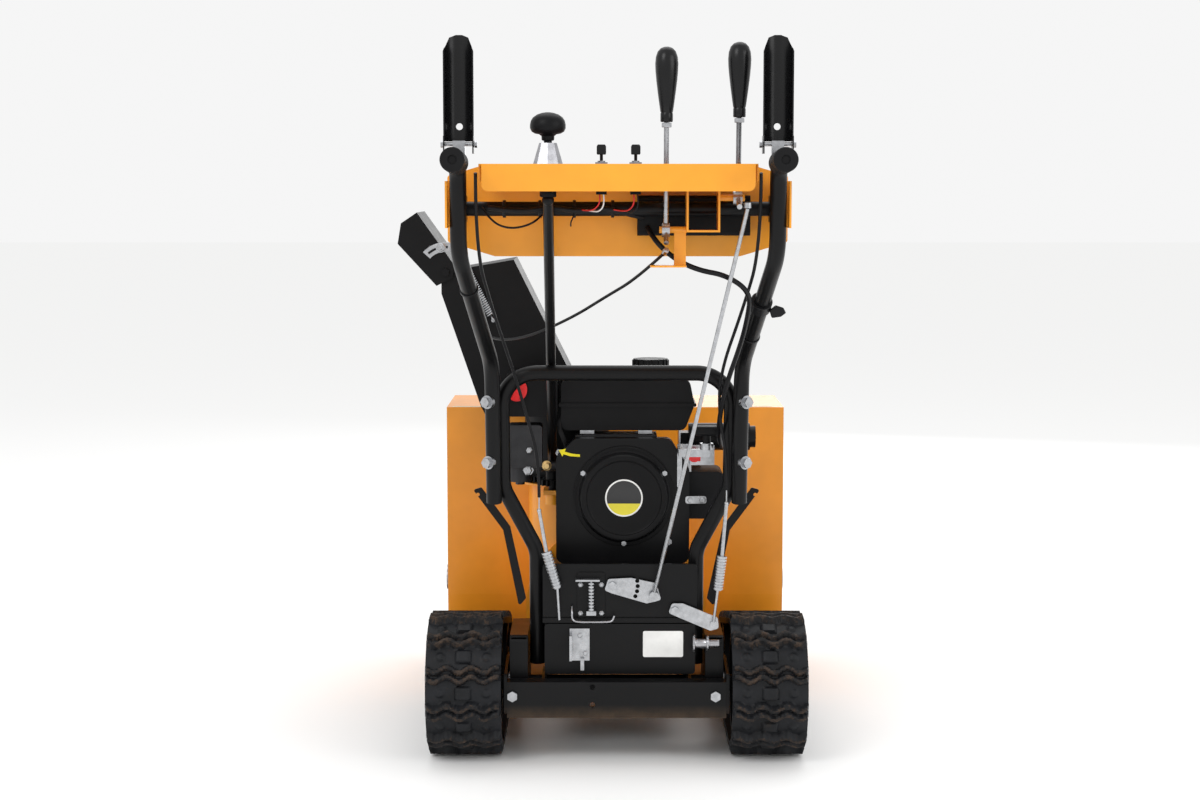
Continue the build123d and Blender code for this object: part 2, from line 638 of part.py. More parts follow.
def fuel_cap():
    """Ribbed screw cap on the tank's neck."""
    at = Plane(origin=(60, CAP_Y, 635), z_dir=(0, 0, 1))
    body = extrude(at * Circle(30), amount=18)
    for k in range(18):
        body += Pos(60, CAP_Y, 635) * Rot(0, 0, k * 20) * block((28, 32), (-2.5, 2.5), (0, 16))
    return body + extrude(at.offset(-12) * Circle(17.5), amount=12)


def tank_brackets():
    """Folded straps that hold the tank above the shroud."""
    straps = [block((x - 12, x + 12), (-400, -330), (526.5, 533)) for x in (-50, 50)]
    straps += [block((108, 111), (-400, -340), (470, 532.9)) + block((92, 111), (-400, -340), (470, 473))]
    return group(straps)


def choke_box():
    """Heated cover over the carburettor, with the choke shaft's hole."""
    body = soft_block((-190, -101), (-400, -320), (556, 631), 9)
    body -= block((-187, -104), (-397, -310), (559, 628))
    return body - rod((-171, -410, 603), (-171, -390, 603), 4.1)


def choke_knob():
    """Oval rotary knob of the choke, on its shaft."""
    at = Plane(origin=(-171, -401, 603), z_dir=(0, -1, 0))
    body = extrude(at * Ellipse(20, 18), amount=5) + extrude(at.offset(5) * SlotOverall(34, 10), amount=12)
    return body + rod((-171, -401, 603), (-171, -380, 603), 4)


def carburettor():
    """Carburettor body, its float bowl and the intake elbow."""
    body = soft_block((-188, -128), (-392, -340), (466, 540), 6)
    body += rod((-130, -366, 466), (-62, -366, 466), 9)
    body += rod((-167, -366, 470), (-167, -366, 440), 21) + hexagon((-167, -366, 440), (0, 0, -1), 14, 6)
    return body


def muffler():
    """Silencer at the right front of the engine, with its heat guard's slots."""
    body = soft_block((112, 186), (-410, -320), (380, 462), 12)
    for k in range(6):
        body -= block((186 - 3, 190), (-398 + k * 14, -391 + k * 14), (392, 450))
    return body + rod((92, -365, 430), (113, -365, 430), 14)


def starter_motor():
    """Electric starter lying along X at the right, above the silencer."""
    body = rod((128, -310, 511), (236, -310, 511), 24) + rod((236, -310, 511), (246, -310, 511), 19)
    return body + block((112, 150), (-330, -292), (470, 520)) + block((92, 114), (-340, -300), (468, 476))


def throttle_plate():
    """Folded speed-control plate with its slot."""
    body = block((126, 168), (-430, -427), (476, 510)) + block((126, 129), (-430, -412), (476, 510))
    body += block((112, 129), (-414.8, -412), (462.5, 510))
    return body - rod((140, -435, 488), (140, -420, 488), 3.1)


def throttle_lever():
    """Round knob of the engine speed lever on its short arm."""
    body = rod((140, -426, 488), (140, -434, 488), 3) + block((128, 144), (-434, -431), (483, 498))
    return body + rod((133, -434, 494), (133, -446, 494), 11)


def starter_handle():
    """Pull handle of the recoil starter, sitting on its guide."""
    body = soft_block((132, 170), (-516, -494), (536, 552), 6, Axis.X)
    return body + rod((151, -505, 524), (151, -505, 537), 7)


def starter_guide():
    """Arm from the shroud with the eye that the starter rope runs through."""
    body = rod((151, -505, 512), (151, -505, 523), 11) + block((104, 156), (-509, -501), (500, 513))
    body += block((104, 112), (-509, -440), (500, 513)) + block((104, 112), (-444, -440), (440, 513))
    return body - rod((151, -505, 517), (151, -505, 530), 7.4)


def starter_rope():
    """Rope between the guide and the handle."""
    return rod((151, -505, 517.2), (151, -505, 523.8), 2.2)


# ---- handles ------------------------------------------------------------------------------
LEG_LOW, LEG_HIGH = (189, -535, 453), (189, -574, 647)
TUBE_LOW, TUBE_HIGH = (203, -553, 430), (203, -601, 662)
TUBE_KNEE, TUBE_TOP = (240, -845, 850), (238, -880, 985)


def lower_handle_frame():
    """U-shaped lower handle tube, necked in where it joins the tractor frame."""
    right = [(133.2, -505, 150), (133.2, -522, 345), LEG_LOW, LEG_HIGH]
    left = [(-x, y, z) for x, y, z in reversed(right)]
    return bent(right + left, [60, 60, 58, 58, 60, 60], TUBE_R, TUBE_R - TUBE_WALL)


def handle_tube(side):
    """Upper handle: a straight foot on the frame, a long reach back and the grip's end."""
    points = [TUBE_LOW, TUBE_HIGH, TUBE_KNEE, TUBE_TOP, (GRIP_X, GRIP_END + 3, GRIP_Z)]
    body = bent([(side * x, y, z) for x, y, z in points], [90, 90, 36], TUBE_R, TUBE_R - TUBE_WALL)
    return body


def crossbar():
    """Bar between the upper handles, with a gusset at each end."""
    body = rod((-229, -815, 918), (229, -815, 918), 11, 9)
    for side in (-1, 1):
        x = side * 230.5
        plate = block((x - 1.5, x + 1.5), (-862, -800), (898, 938))
        body += plate - rod((side * 240, -845, 850), (side * 238, -880, 985), TUBE_R + 0.1)
    return body


def handle_grip(side):
    """Ribbed rubber grip over the handle's end."""
    top = Vector(side * TUBE_TOP[0], TUBE_TOP[1], TUBE_TOP[2])
    tip = Vector(side * GRIP_X, GRIP_END + 3, GRIP_Z)
    along = (tip - top).normalized()
    start = top + along * 45
    return rod(start, tip + along * 3, GRIP_R) - rod(start, tip, TUBE_R + 0.05)


def handle_bolts():
    """Saddle washers and hexagon bolts that hold the upper handles to the lower frame."""
    pieces = []
    for side in (-1, 1):
        axis = Vector(side * 14, -22, 0).normalized()
        low, high = Vector(*TUBE_LOW), Vector(*TUBE_HIGH)
        for part in (0.30, 0.74):
            on_tube = low + (high - low) * part
            centre = Vector(side * on_tube.X, on_tube.Y, on_tube.Z)
            washer = rod((centre + axis * 9), (centre + axis * 16), 11)
            washer -= rod((side * low.X, low.Y, low.Z), (side * high.X, high.Y, high.Z), TUBE_R + 0.03)
            seat = (centre + axis * 16)
            pieces.append(washer + hexagon(seat, axis, 15, 7))
    return group(pieces)


def side_brace(side):
    """Flat strap from the lower handle down to the tractor frame."""
    points = [(-240, 446), (-226, 450), (-178, 384), (-152, 262), (-164, 248), (-190, 378)]
    body = slab(plane_xz(-516), points, 3, 3)
    hole = rod((-232, -510, 438), (-232, -525, 438), 3)
    body -= hole
    return body if side < 0 else mirror(body, about=Plane.YZ)


def beam_bolts():
    """Bolts through the rear beam's face."""
    return group([bolt((x, -605, 115), (0, -1, 0), 9.8, 6) for x in (-172, 163)])


# ---- control panel ------------------------------------------------------------------------
def control_panel():
    """Folded panel: a top with lever slots, a deep rear flange and a lip in front."""
    top, sheet = PANEL_Z, 2.0
    body = soft_block((-PANEL_HALF, PANEL_HALF), (-935, -748.2), (top - sheet, top), 12, Axis.Z)
    flange = slab(plane_xz(-933), [(-200, 945), (200, 945), (200, top), (-200, top)], 2)
    body += fillet(flange.edges().filter_by(Axis.Y).group_by(Axis.Z)[0], 10)
    for side in (-1, 1):
        x = side * (PANEL_HALF - 1)
        body += block((x - 1, x + 1), (-922, -762), (960, top))
    body -= soft_block((TILT_X - 6, TILT_X + 6), (-892, -812), (970, 1000), 5.5, Axis.Z)
    body -= soft_block((SPEED_X - 6, SPEED_X + 6), (-886, -816), (970, 1000), 5.5, Axis.Z)
    for k in range(5):
        body -= block((SPEED_X - 15, SPEED_X), (-882 + k * 14, -875 + k * 14), (970, 1000))
    body -= rod((KNOB_X, KNOB_Y, 960), (KNOB_X, KNOB_Y, 1000), 9)
    for x in (-25, 26):
        body -= rod((x, -865, 970), (x, -865, 1000), 6)
    return body


def panel_skirt():
    """Wide sheet in front of the panel that ties it to both handles."""
    points = [(-SKIRT_HALF, 866), (-190, 844), (190, 844), (SKIRT_HALF, 866), (SKIRT_HALF, 968),
              (PANEL_HALF, PANEL_Z), (-PANEL_HALF, PANEL_Z), (-SKIRT_HALF, 968)]
    body = slab(plane_xz(SKIRT_Y), points, 3, 5)
    for side in (-1, 1):
        x = side * 257
        body += block((x - 1.5, x + 1.5), (-868, SKIRT_Y - 2), (890, 960))
    return body


def switch_box():
    """Closed housing under the panel for the heater and light switches."""
    box = soft_block((30, 202), (-797, -748.5), (877, 938), 5, Axis.X)
    return box - block((33, 199), (-794, -751), (880, 935))


def lever_bracket():
    """Folded bracket under the panel with the levers' pivot ears."""
    depth = (-872, -828)
    body = block((102, 105), depth, (884, 982.9)) + block((149, 152), depth, (884, 982.9))
    body += block((102, 152), depth, (884, 887)) + block((96, 158), depth, (980, 982.9))
    body += rod((62, TILT_Y, TILT_Z), (103, TILT_Y, TILT_Z), 5)
    body += rod((151, SPEED_Y, SPEED_Z), (190, SPEED_Y, SPEED_Z), 5)
    return body


def lever(pivot, top, arm_end, hub):
    """Control lever: a hub on its pin, a rod up through the panel and a short arm."""
    x, y, z = pivot
    low, high = hub
    body = rod((low, y, z), (high, y, z), 11) + rod((x, y, z), top, 4)
    body += rod((x, y, z), arm_end, 4)
    return body - rod((low - 5, y, z), (high + 5, y, z), 5.05)


def lever_grip(top):
    """Pear-shaped plastic grip on a lever's rod, with its collar."""
    x, y, z = top
    profile = [(0, -110), (8, -110), (8, -96), (10, -90), (16, -40), (16.5, -22), (13, -8), (6, -1), (0, 0)]
    side = Plane(origin=(x, y, z), x_dir=(1, 0, 0), z_dir=(0, -1, 0))
    shape = revolve(side * Polygon(*profile, align=None), axis=Axis((x, y, z), (0, 0, 1)))
    return shape - rod((x, y, z - 130), (x, y, z - 40), 4)


TILT_TOP, SPEED_TOP = (TILT_X, -865, 1158), (SPEED_X, -865, 1165)
SPEED_ARM = (SPEED_X, -885, 922)


def tilt_lever():
    """Lever that raises and lowers the chute's deflector."""
    return lever((TILT_X, TILT_Y, TILT_Z), (TILT_X, -865, 1118), (TILT_X, -868, 868), (66, 77.5))


def speed_lever():
    """Lever that picks the drive speed."""
    body = lever((SPEED_X, SPEED_Y, SPEED_Z), (SPEED_X, -865, 1125), SPEED_ARM, (172.5, 186))
    return body


def speed_rod():
    """Long rod from the speed lever's arm down to the crank plate."""
    x, y, z = SPEED_ARM
    top = (x + 12, y, z - 2)
    body = rod(top, (62, -575.5, 280), 3.2) + rod(top, (x + 12, y, z + 6), 6)
    return body + rod((62, -580, 276), (62, -570.5, 276), 8)


def crank_plate():
    """Crank on the frame's rear that the speed rod turns, with a curved slot."""
    points = [(-20, 284), (-14, 303), (24, 305), (66, 296), (74, 268), (50, 262), (-8, 279)]
    body = slab(plane_xz(-560.5), points, 4, 4)
    for k in range(5):
        turn = radians(-25 + k * 12)
        x, z = -7 + 42 * cos(turn), 292 + 42 * sin(turn)
        body -= rod((x, -555, z), (x, -570, z), 3.5)
    return body - rod((-7, -555, 292), (-7, -570, 292), 4.05)


def pivot_bolts():
    """Shoulder bolts on the rear cover that the crank plate and the clutch arm turn on."""
    pieces = []
    for x, z in ((-7, 292), (97, 250)):
        body = rod((x, -554.2, z), (x, -565, z), 4)
        pieces.append(body + hexagon((x, -565, z), (0, -1, 0), 13, 5))
    return group(pieces)


# ---- clutch controls ----------------------------------------------------------------------
PADDLE_PIVOT_Y, PADDLE_PIVOT_Z = -893.0, 1014.0


def clutch_paddle(side):
    """Hand lever folded to a channel that closes over the grip, with a hole near its foot."""
    at = Plane(origin=(0, PADDLE_PIVOT_Y, PADDLE_PIVOT_Z), x_dir=(1, 0, 0), z_dir=(0, 0, 1))
    arc = Circle(22.5) - Circle(20.5)
    channel = at.offset(4) * Pos(side * GRIP_X, -8) * (arc - Pos(0, -20) * Rectangle(60, 36))
    body = extrude(channel, amount=156)
    tip = slab(plane_xz(-860), [(side * GRIP_X - 30, 1005), (side * GRIP_X + 30, 1005),
               (side * GRIP_X + 23, 1148), (side * GRIP_X + 14, 1170), (side * GRIP_X, 1176),
               (side * GRIP_X - 14, 1170), (side * GRIP_X - 23, 1148)], 60)
    body &= tip
    for ear in (-1, 1):
        x = side * GRIP_X + ear * 21.5
        body += block((x - 1, x + 1), (-910, -884), (1000, 1026))
    body -= rod((side * GRIP_X, -860, 1040), (side * GRIP_X, -900, 1040), 5)
    return body - rod((side * GRIP_X - 40, PADDLE_PIVOT_Y, PADDLE_PIVOT_Z),
                      (side * GRIP_X + 40, PADDLE_PIVOT_Y, PADDLE_PIVOT_Z), 3.05)


def paddle_pivots():
    """Pivot pins of both paddles, each in a saddle on the handle tube."""
    pieces = []
    for side in (-1, 1):
        x, y, z = side * GRIP_X, PADDLE_PIVOT_Y, PADDLE_PIVOT_Z
        body = rod((x - 25, y, z), (x + 25, y, z), 3) + block((x - 9, x + 9), (y - 8, y + 8), (992, z + 5))
        for ear in (-1, 1):
            body += hexagon((x + ear * 23, y, z), (ear, 0, 0), 9, 4)
        body -= rod((side * 238.6, -860, 985.0), (side * 235.6, -960, 987.8), TUBE_R + 0.3)
        pieces.append(body)
    return group(pieces)


def clutch_link(side):
    """Wire, hook and spring cup at the lower end of one clutch cable."""
    x = [-128, -116, -98, -95] if side < 0 else [181, 174, 167, 161]
    z = [419, 350, 289, 236] if side < 0 else [431, 343, 286, 232]
    y = -572
    body = rod((x[0], y, z[0] + 44), (x[0], y, z[0]), 1.2) + Pos(x[0], y, z[0]) * Sphere(3.6)
    body += rod((x[0], y, z[0]), (x[1], y, z[1]), 3) + rod((x[1], y, z[1]), (x[2], y, z[2]), 3)
    return body + rod((x[2], y, z[2]), (x[3], y, z[3]), 2.2)


def clutch_spring(side):
    """Coil spring round the middle of one clutch link."""
    x = [-116, -98] if side < 0 else [174, 167]
    z = [350, 289] if side < 0 else [343, 286]
    body = None
    for k in range(12):
        low, high = k / 12, (k + 0.62) / 12
        start = (x[0] + (x[1] - x[0]) * low, -572, z[0] + (z[1] - z[0]) * low)
        end = (x[0] + (x[1] - x[0]) * high, -572, z[0] + (z[1] - z[0]) * high)
        turn = rod(start, end, 8.5, 3.0)
        body = turn if body is None else body + turn
    sleeve = rod((x[0], -572, z[0]), (x[1], -572, z[1]), 6.5, 3.0)
    return body + sleeve


def auger_clutch_arm():
    """Curved arm on the frame's rear that the right clutch link lifts."""
    points = [(86, 246), (92, 262), (110, 262), (168, 238), (170, 220), (156, 216), (104, 238)]
    body = slab(plane_xz(-560.5), points, 4, 5)
    body += rod((161, -564, 227), (161, -568.5, 227), 6)
    return body - rod((97, -555, 250), (97, -570, 250), 4.05)


def latch_plate():
    """Bent latch plate and its bracket with an upright spring on the rear cover."""
    body = block((-78, -45), (-562, -557.3), (165, 219)) + block((-78, -74), (-590, -557.3), (170, 212))
    body += block((-60, -54), (-570, -562), (150, 170))
    return body


def latch_spring():
    """Upright tension spring between two tabs above the latch."""
    body = rod((-42, -566, 250), (-42, -566, 300), 2)
    for k in range(9):
        body += rod((-42, -566, 251 + k * 5.4), (-42, -566, 254.2 + k * 5.4), 5.5)
    tabs = block((-50, -34), (-572, -554.1), (243, 250)) + block((-68, -28), (-572, -554.1), (300, 303))
    return body + tabs


# ---- switches -----------------------------------------------------------------------------
def toggle_base():
    """Threaded bushes and nuts of the two panel switches."""
    pieces = []
    for x in (-25, 26):
        body = rod((x, -865, 952), (x, -865, 990), 5.9) + block((x - 8, x + 8), (-877, -853), (940, 958))
        body += hexagon((x, -865, PANEL_Z), (0, 0, 1), 16, 3)
        body -= rod((x, -865, 972), (x, -865, 995), 4.7)
        pieces.append(body)
    return group(pieces)


def toggle(x):
    """Bat handle of one switch on its pin, leaning back at rest."""
    body = rod((x, -865, 984), (x, -871, 1006), 2.4) + Pos(x, -865, 984) * Sphere(3.2)
    body += rod((x - 4, -865, 984), (x + 4, -865, 984), 1.4)
    return body + Pos(x, -871, 1006) * Sphere(3.2)


# ---- cables -------------------------------------------------------------------------------
def clutch_cable(side):
    """Sheathed cable from a paddle down the handle to its clutch link."""
    s = side
    low_x, low_z = (-128, 441) if side < 0 else (181, 453)
    knee_x = -146 if side < 0 else 168
    points = [(s * 211, -893, 972), (s * 214, -852, 858), (s * 196, -730, 762), (s * 166, -622, 650),
              (knee_x, -578, 572), (low_x, -572, low_z + 62), (low_x, -572, low_z)]
    return bent(points, arc_sizes(points), 2.6, 1.5)


def arc_sizes(points):
    """Largest tangent arcs that the runs of a route leave room for."""
    sizes = []
    for before, corner, after in zip(points, points[1:], points[2:]):
        first, second = Vector(*corner) - Vector(*before), Vector(*after) - Vector(*corner)
        turn = first.get_angle(second)
        half = radians(turn / 2)
        sizes.append(0.45 * min(first.length, second.length) / sin(half) * cos(half))
    return sizes


def wiring_harness():
    """Loom from the switch box along the crossbar and down the right handle."""
    points = [(45, -799.5, 890), (54, -824, 872), (82, -834, 845), (120, -832, 826), (165, -826, 818),
              (204, -796, 790), (202, -740, 745), (196, -680, 702), (174, -620, 625), (166, -556, 545),
              (178, -505, 512), (190, -430, 508)]
    return bent(points, arc_sizes(points), 4)


def deflector_cable():
    """Sheathed cable from the tilt lever to the deflector."""
    points = [(TILT_X, -872, 856), (30, -790, 812), (-20, -705, 778), (-70, -620, 742), (-150, -520, 700),
              (-215, -430, 690), (-246, -350, 720), (-262, -302, 770)]
    return bent(points, arc_sizes(points), 2.4)


# ---- sub-parts ----------------------------------------------------------------------------
SIDES = (-1, 1)


def pair(make):
    """The left and the right one of a piece."""
    return [make(side) for side in SIDES]


NODES = {
    "auger_housing": auger_housing,
    "scraper_bar": scraper_bar,
    "skid_shoes": lambda: group(pair(skid_shoe)),
    "bearings": lambda: group(pair(auger_bearing) + pair(axle_bearing) + [impeller_bearing()]),
    "auger_gearbox": auger_gearbox,
    "auger": lambda: group([auger_shaft()] + pair(auger)),
    "impeller": lambda: group([impeller(), pulley(0, IMPELLER_Z, 62)]),
    "chute": lambda: group([chute(), deflector_pins()]),
    "deflector": deflector,
    "chute_pinion": chute_pinion,
    "chute_rod": chute_rod,
    "chute_knob": chute_knob,
    "track_belt_left": lambda: track_belt(-1),
    "track_belt_right": lambda: track_belt(1),
    "rear_track_wheels": lambda: group([drive_axle()] + pair(rear_wheel)),
    "front_track_wheels": lambda: group(pair(front_wheel)),
    "track_frames": lambda: group(pair(track_plate) + pair(final_drive)),
    "tractor_frame": tractor_frame,
    "rear_beam": rear_beam,
    "side_braces": lambda: group(pair(side_brace) + [frame_ties()]),
    "rear_covers": lambda: group([rear_cover(), lower_cover()]),
    "latch": lambda: group([latch_plate(), latch_spring()]),
    "engine_block": engine_block,
    "crankshaft": crankshaft,
    "fan_shroud": fan_shroud,
    "recoil_cover": recoil_cover,
    "starter_handle": starter_handle,
    "starter_rope": starter_rope,
    "fuel_tank": fuel_tank,
    "fuel_cap": fuel_cap,
    "choke_box": choke_box,
    "choke_knob": choke_knob,
    "carburettor": carburettor,
    "muffler": muffler,
    "starter_motor": starter_motor,
    "engine_brackets": lambda: group([throttle_plate(), starter_guide(), tank_brackets()]),
    "throttle_lever": throttle_lever,
    "belt_cover": belt_cover,
    "auger_belt": auger_belt,
    "lower_handle": lower_handle_frame,
    "upper_handles": lambda: group(pair(handle_tube) + [crossbar()]),
    "handle_grips": lambda: group(pair(handle_grip)),
    "fasteners": lambda: group([handle_bolts(), pivot_bolts(), engine_screws(), paddle_pivots(),
                                idler_wheel_axles(), beam_bolts()]),
    "control_panel": control_panel,
    "panel_skirt": panel_skirt,
    "panel_switch_box": lambda: group([switch_box(), toggle_base()]),
    "control_supports": lambda: group([lever_bracket(), knob_cone(), pinion_bracket()]),
    "tilt_lever": lambda: group([tilt_lever(), lever_grip(TILT_TOP)]),
    "speed_lever": lambda: group([speed_lever(), lever_grip(SPEED_TOP)]),
    "speed_rod": speed_rod,
    "crank_plate": crank_plate,
    "drive_clutch_paddle": lambda: clutch_paddle(-1),
    "auger_clutch_paddle": lambda: clutch_paddle(1),
    "drive_clutch_link": lambda: group([clutch_link(-1), clutch_spring(-1)]),
    "auger_clutch_link": lambda: group([clutch_link(1), clutch_spring(1)]),
    "auger_clutch_arm": auger_clutch_arm,
    "heater_switch": lambda: toggle(-25),
    "light_switch": lambda: toggle(26),
    "cables": lambda: group(pair(clutch_cable) + [wiring_harness()]),
    "deflector_cable": deflector_cable,
}

for node, make in NODES.items():
    save(node, make())
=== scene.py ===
import json
import math

import bmesh
import bpy
from mathutils import Matrix, Vector


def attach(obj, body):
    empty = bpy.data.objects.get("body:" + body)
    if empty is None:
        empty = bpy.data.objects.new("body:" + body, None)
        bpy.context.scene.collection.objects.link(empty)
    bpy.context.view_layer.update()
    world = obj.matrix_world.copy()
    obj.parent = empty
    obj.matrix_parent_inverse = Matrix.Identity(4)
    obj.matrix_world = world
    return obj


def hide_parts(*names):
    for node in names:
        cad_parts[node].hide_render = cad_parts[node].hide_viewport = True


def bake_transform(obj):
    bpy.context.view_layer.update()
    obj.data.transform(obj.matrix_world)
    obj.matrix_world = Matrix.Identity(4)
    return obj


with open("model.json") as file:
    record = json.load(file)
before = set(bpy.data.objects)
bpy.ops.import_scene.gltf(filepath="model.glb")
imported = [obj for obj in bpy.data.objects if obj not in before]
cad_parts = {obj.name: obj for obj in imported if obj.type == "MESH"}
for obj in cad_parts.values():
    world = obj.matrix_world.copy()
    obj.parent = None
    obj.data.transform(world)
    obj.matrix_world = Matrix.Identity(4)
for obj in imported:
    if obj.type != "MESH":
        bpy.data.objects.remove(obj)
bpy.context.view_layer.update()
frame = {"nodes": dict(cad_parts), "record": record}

NODES = frame["nodes"]
MM = 0.001


# ---- camera, floor and lights -------------------------------------------------------------
def camera_and_light():
    """Rear view from a standing person's height, a pale floor and three soft lamps."""
    cam = bpy.data.objects.new("camera", bpy.data.cameras.new("camera"))
    cam.location = (-0.022, -4.105, 0.960)
    cam.rotation_euler = (math.radians(90 - 5.78), 0, math.radians(0.09))
    cam.data.sensor_width = 36.0
    cam.data.lens = 64.9
    bpy.context.scene.collection.objects.link(cam)
    bpy.context.scene.camera = cam
    floor = mesh_object("floor", [(x, y, -0.0005) for y in (-30, 30) for x in (-30, 30)], [(0, 1, 3, 2)])
    floor.data.materials.append(plain_floor())
    for name, place, size, power, aim in (
        ("key", (-1.9, -3.2, 3.0), 1.6, 34, (0, -0.4, 0.5)),
        ("fill", (2.6, -2.6, 1.8), 1.8, 20, (0, -0.4, 0.5)),
        ("top", (0.2, 0.6, 3.6), 2.6, 26, (0, -0.3, 0.4)),
        ("front", (1.0, 3.6, 1.6), 2.0, 18, (0, 0, 0.4)),
    ):
        lamp = bpy.data.objects.new(name, bpy.data.lights.new(name, "AREA"))
        lamp.data.size = size
        lamp.data.energy = power
        lamp.location = place
        lamp.rotation_euler = (Vector(aim) - Vector(place)).to_track_quat("-Z", "Y").to_euler()
        bpy.context.scene.collection.objects.link(lamp)
    world = bpy.data.worlds.new("studio")
    world.use_nodes = True
    background = world.node_tree.nodes["Background"]
    background.inputs["Color"].default_value = (1.0, 1.0, 1.0, 1)
    background.inputs["Strength"].default_value = 0.92
    bpy.context.scene.world = world
    bpy.context.scene.view_settings.view_transform = "Standard"


def plain_floor():
    mat = bpy.data.materials.new("pale_floor")
    mat.use_nodes = True
    shader = mat.node_tree.nodes["Principled BSDF"]
    shader.inputs["Base Color"].default_value = (0.97, 0.97, 0.965, 1)
    shader.inputs["Roughness"].default_value = 1.0
    shader.inputs["Specular IOR Level"].default_value = 0.0
    return mat


# ---- mesh helpers -------------------------------------------------------------------------
def mesh_object(name, points, faces):
    """A new object from points in metres."""
    mesh = bpy.data.meshes.new(name)
    mesh.from_pydata([tuple(p) for p in points], [], faces)
    mesh.update()
    obj = bpy.data.objects.new(name, mesh)
    bpy.context.scene.collection.objects.link(obj)
    return obj


def smooth(obj, angle=35):
    """Smooth shading except across sharp edges."""
    bm = bmesh.new()
    bm.from_mesh(obj.data)
    bmesh.ops.recalc_face_normals(bm, faces=bm.faces)
    limit = math.radians(angle)
    for face in bm.faces:
        face.smooth = True
    for edge in bm.edges:
        edge.smooth = len(edge.link_faces) == 2 and edge.calc_face_angle(0.0) < limit
    bm.to_mesh(obj.data)
    bm.free()
    return obj


def finish_piece(obj, material, body, bevel=0.0, segments=2):
    """Materials, edges and the body that a piece rides on."""
    if isinstance(material, list):
        for one in material:
            obj.data.materials.append(one)
    else:
        obj.data.materials.append(material)
    if bevel:
        cut = obj.modifiers.new("bevel", "BEVEL")
        cut.width = bevel
        cut.segments = segments
        cut.limit_method = "ANGLE"
        cut.angle_limit = math.radians(40)
    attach(obj, body)
    return obj


def along(start, end):
    """Matrix that puts local +Z from start towards end."""
    start, end = Vector(start), Vector(end)
    turn = (end - start).to_track_quat("Z", "Y").to_matrix().to_4x4()
    return Matrix.Translation(start) @ turn


def lathe(name, profile, start, end, sides=40):
    """A turned piece: (radius, height) pairs along start to end, all in mm."""
    place = along(start, end)
    points, faces = [], []
    for radius, height in profile:
        for k in range(sides):
            turn = 2 * math.pi * k / sides
            local = Vector((radius * math.cos(turn), radius * math.sin(turn), height))
            points.append((place @ local) * MM)
    for row in range(len(profile) - 1):
        for k in range(sides):
            a, b = row * sides + k, row * sides + (k + 1) % sides
            faces.append((a, b, b + sides, a + sides))
    faces.append(tuple(range(sides))[::-1])
    last = (len(profile) - 1) * sides
    faces.append(tuple(range(last, last + sides)))
    return smooth(mesh_object(name, points, faces))


def cable_curve(name, points, radius):
    """A round cable on a smooth line through given points."""
    curve = bpy.data.curves.new(name, "CURVE")
    curve.dimensions = "3D"
    line = curve.splines.new("NURBS")
    line.points.add(len(points) - 1)
    for knot, point in zip(line.points, points):
        knot.co = (*[v * MM for v in point], 1)
    line.order_u = 3
    line.use_endpoint_u = True
    line.resolution_u = 10
    curve.bevel_depth = radius * MM
    curve.bevel_resolution = 5
    curve.use_fill_caps = True
    obj = bpy.data.objects.new(name, curve)
    bpy.context.scene.collection.objects.link(obj)
    return obj


def sweep_points(name, centres, radius, sides=10):
    """A closed-ended tube along many centres in mm, for coils."""
    points, faces = [], []
    count = len(centres)
    centres = [Vector(c) for c in centres]
    guide = Vector((0, 1, 0.01))
    for k, centre in enumerate(centres):
        ahead = centres[min(k + 1, count - 1)] - centres[max(k - 1, 0)]
        side = ahead.cross(guide).normalized()
        up = side.cross(ahead).normalized()
        for j in range(sides):
            turn = 2 * math.pi * j / sides
            points.append((centre + side * radius * math.cos(turn) + up * radius * math.sin(turn)) * MM)
    for k in range(count - 1):
        for j in range(sides):
            a, b = k * sides + j, k * sides + (j + 1) % sides
            faces.append((a, b, b + sides, a + sides))
    faces.append(tuple(range(sides))[::-1])
    faces.append(tuple(range((count - 1) * sides, count * sides)))
    return smooth(mesh_object(name, points, faces), 60)


def coil(name, start, end, radius, wire, turns):
    """A coil spring with straight hooked ends between two places in mm."""
    start, end = Vector(start), Vector(end)
    axis = end - start
    place = along(start, end).to_3x3()
    steps = turns * 12
    centres = [start, start + axis * 0.06]
    for k in range(steps + 1):
        turn = 2 * math.pi * k / 12
        at = start + axis * (0.08 + 0.84 * k / steps)
        centres.append(at + place @ Vector((math.cos(turn), math.sin(turn), 0)) * radius)
    centres += [start + axis * 0.94, end]
    return sweep_points(name, centres, wire, 8)


def prism(name, outline, low, high, axis="Y"):
    """A plate with an outline in mm: (X, Z) along Y, (Y, Z) along X or (X, Y) along Z."""
    points = []
    for level in (low, high):
        for a, b in outline:
            place = {"Y": (a, level, b), "X": (level, a, b), "Z": (a, b, level)}[axis]
            points.append(Vector(place) * MM)
    count = len(outline)
    faces = [(k, (k + 1) % count, count + (k + 1) % count, count + k) for k in range(count)]
    faces += [tuple(range(count))[::-1], tuple(range(count, 2 * count))]
    return smooth(mesh_object(name, points, faces), 30)


def arc(cx, cy, radius, first, last, steps=10):
    """Points along a circular arc, in degrees."""
    span = [math.radians(first + (last - first) * k / steps) for k in range(steps + 1)]
    return [(cx + radius * math.cos(t), cy + radius * math.sin(t)) for t in span]


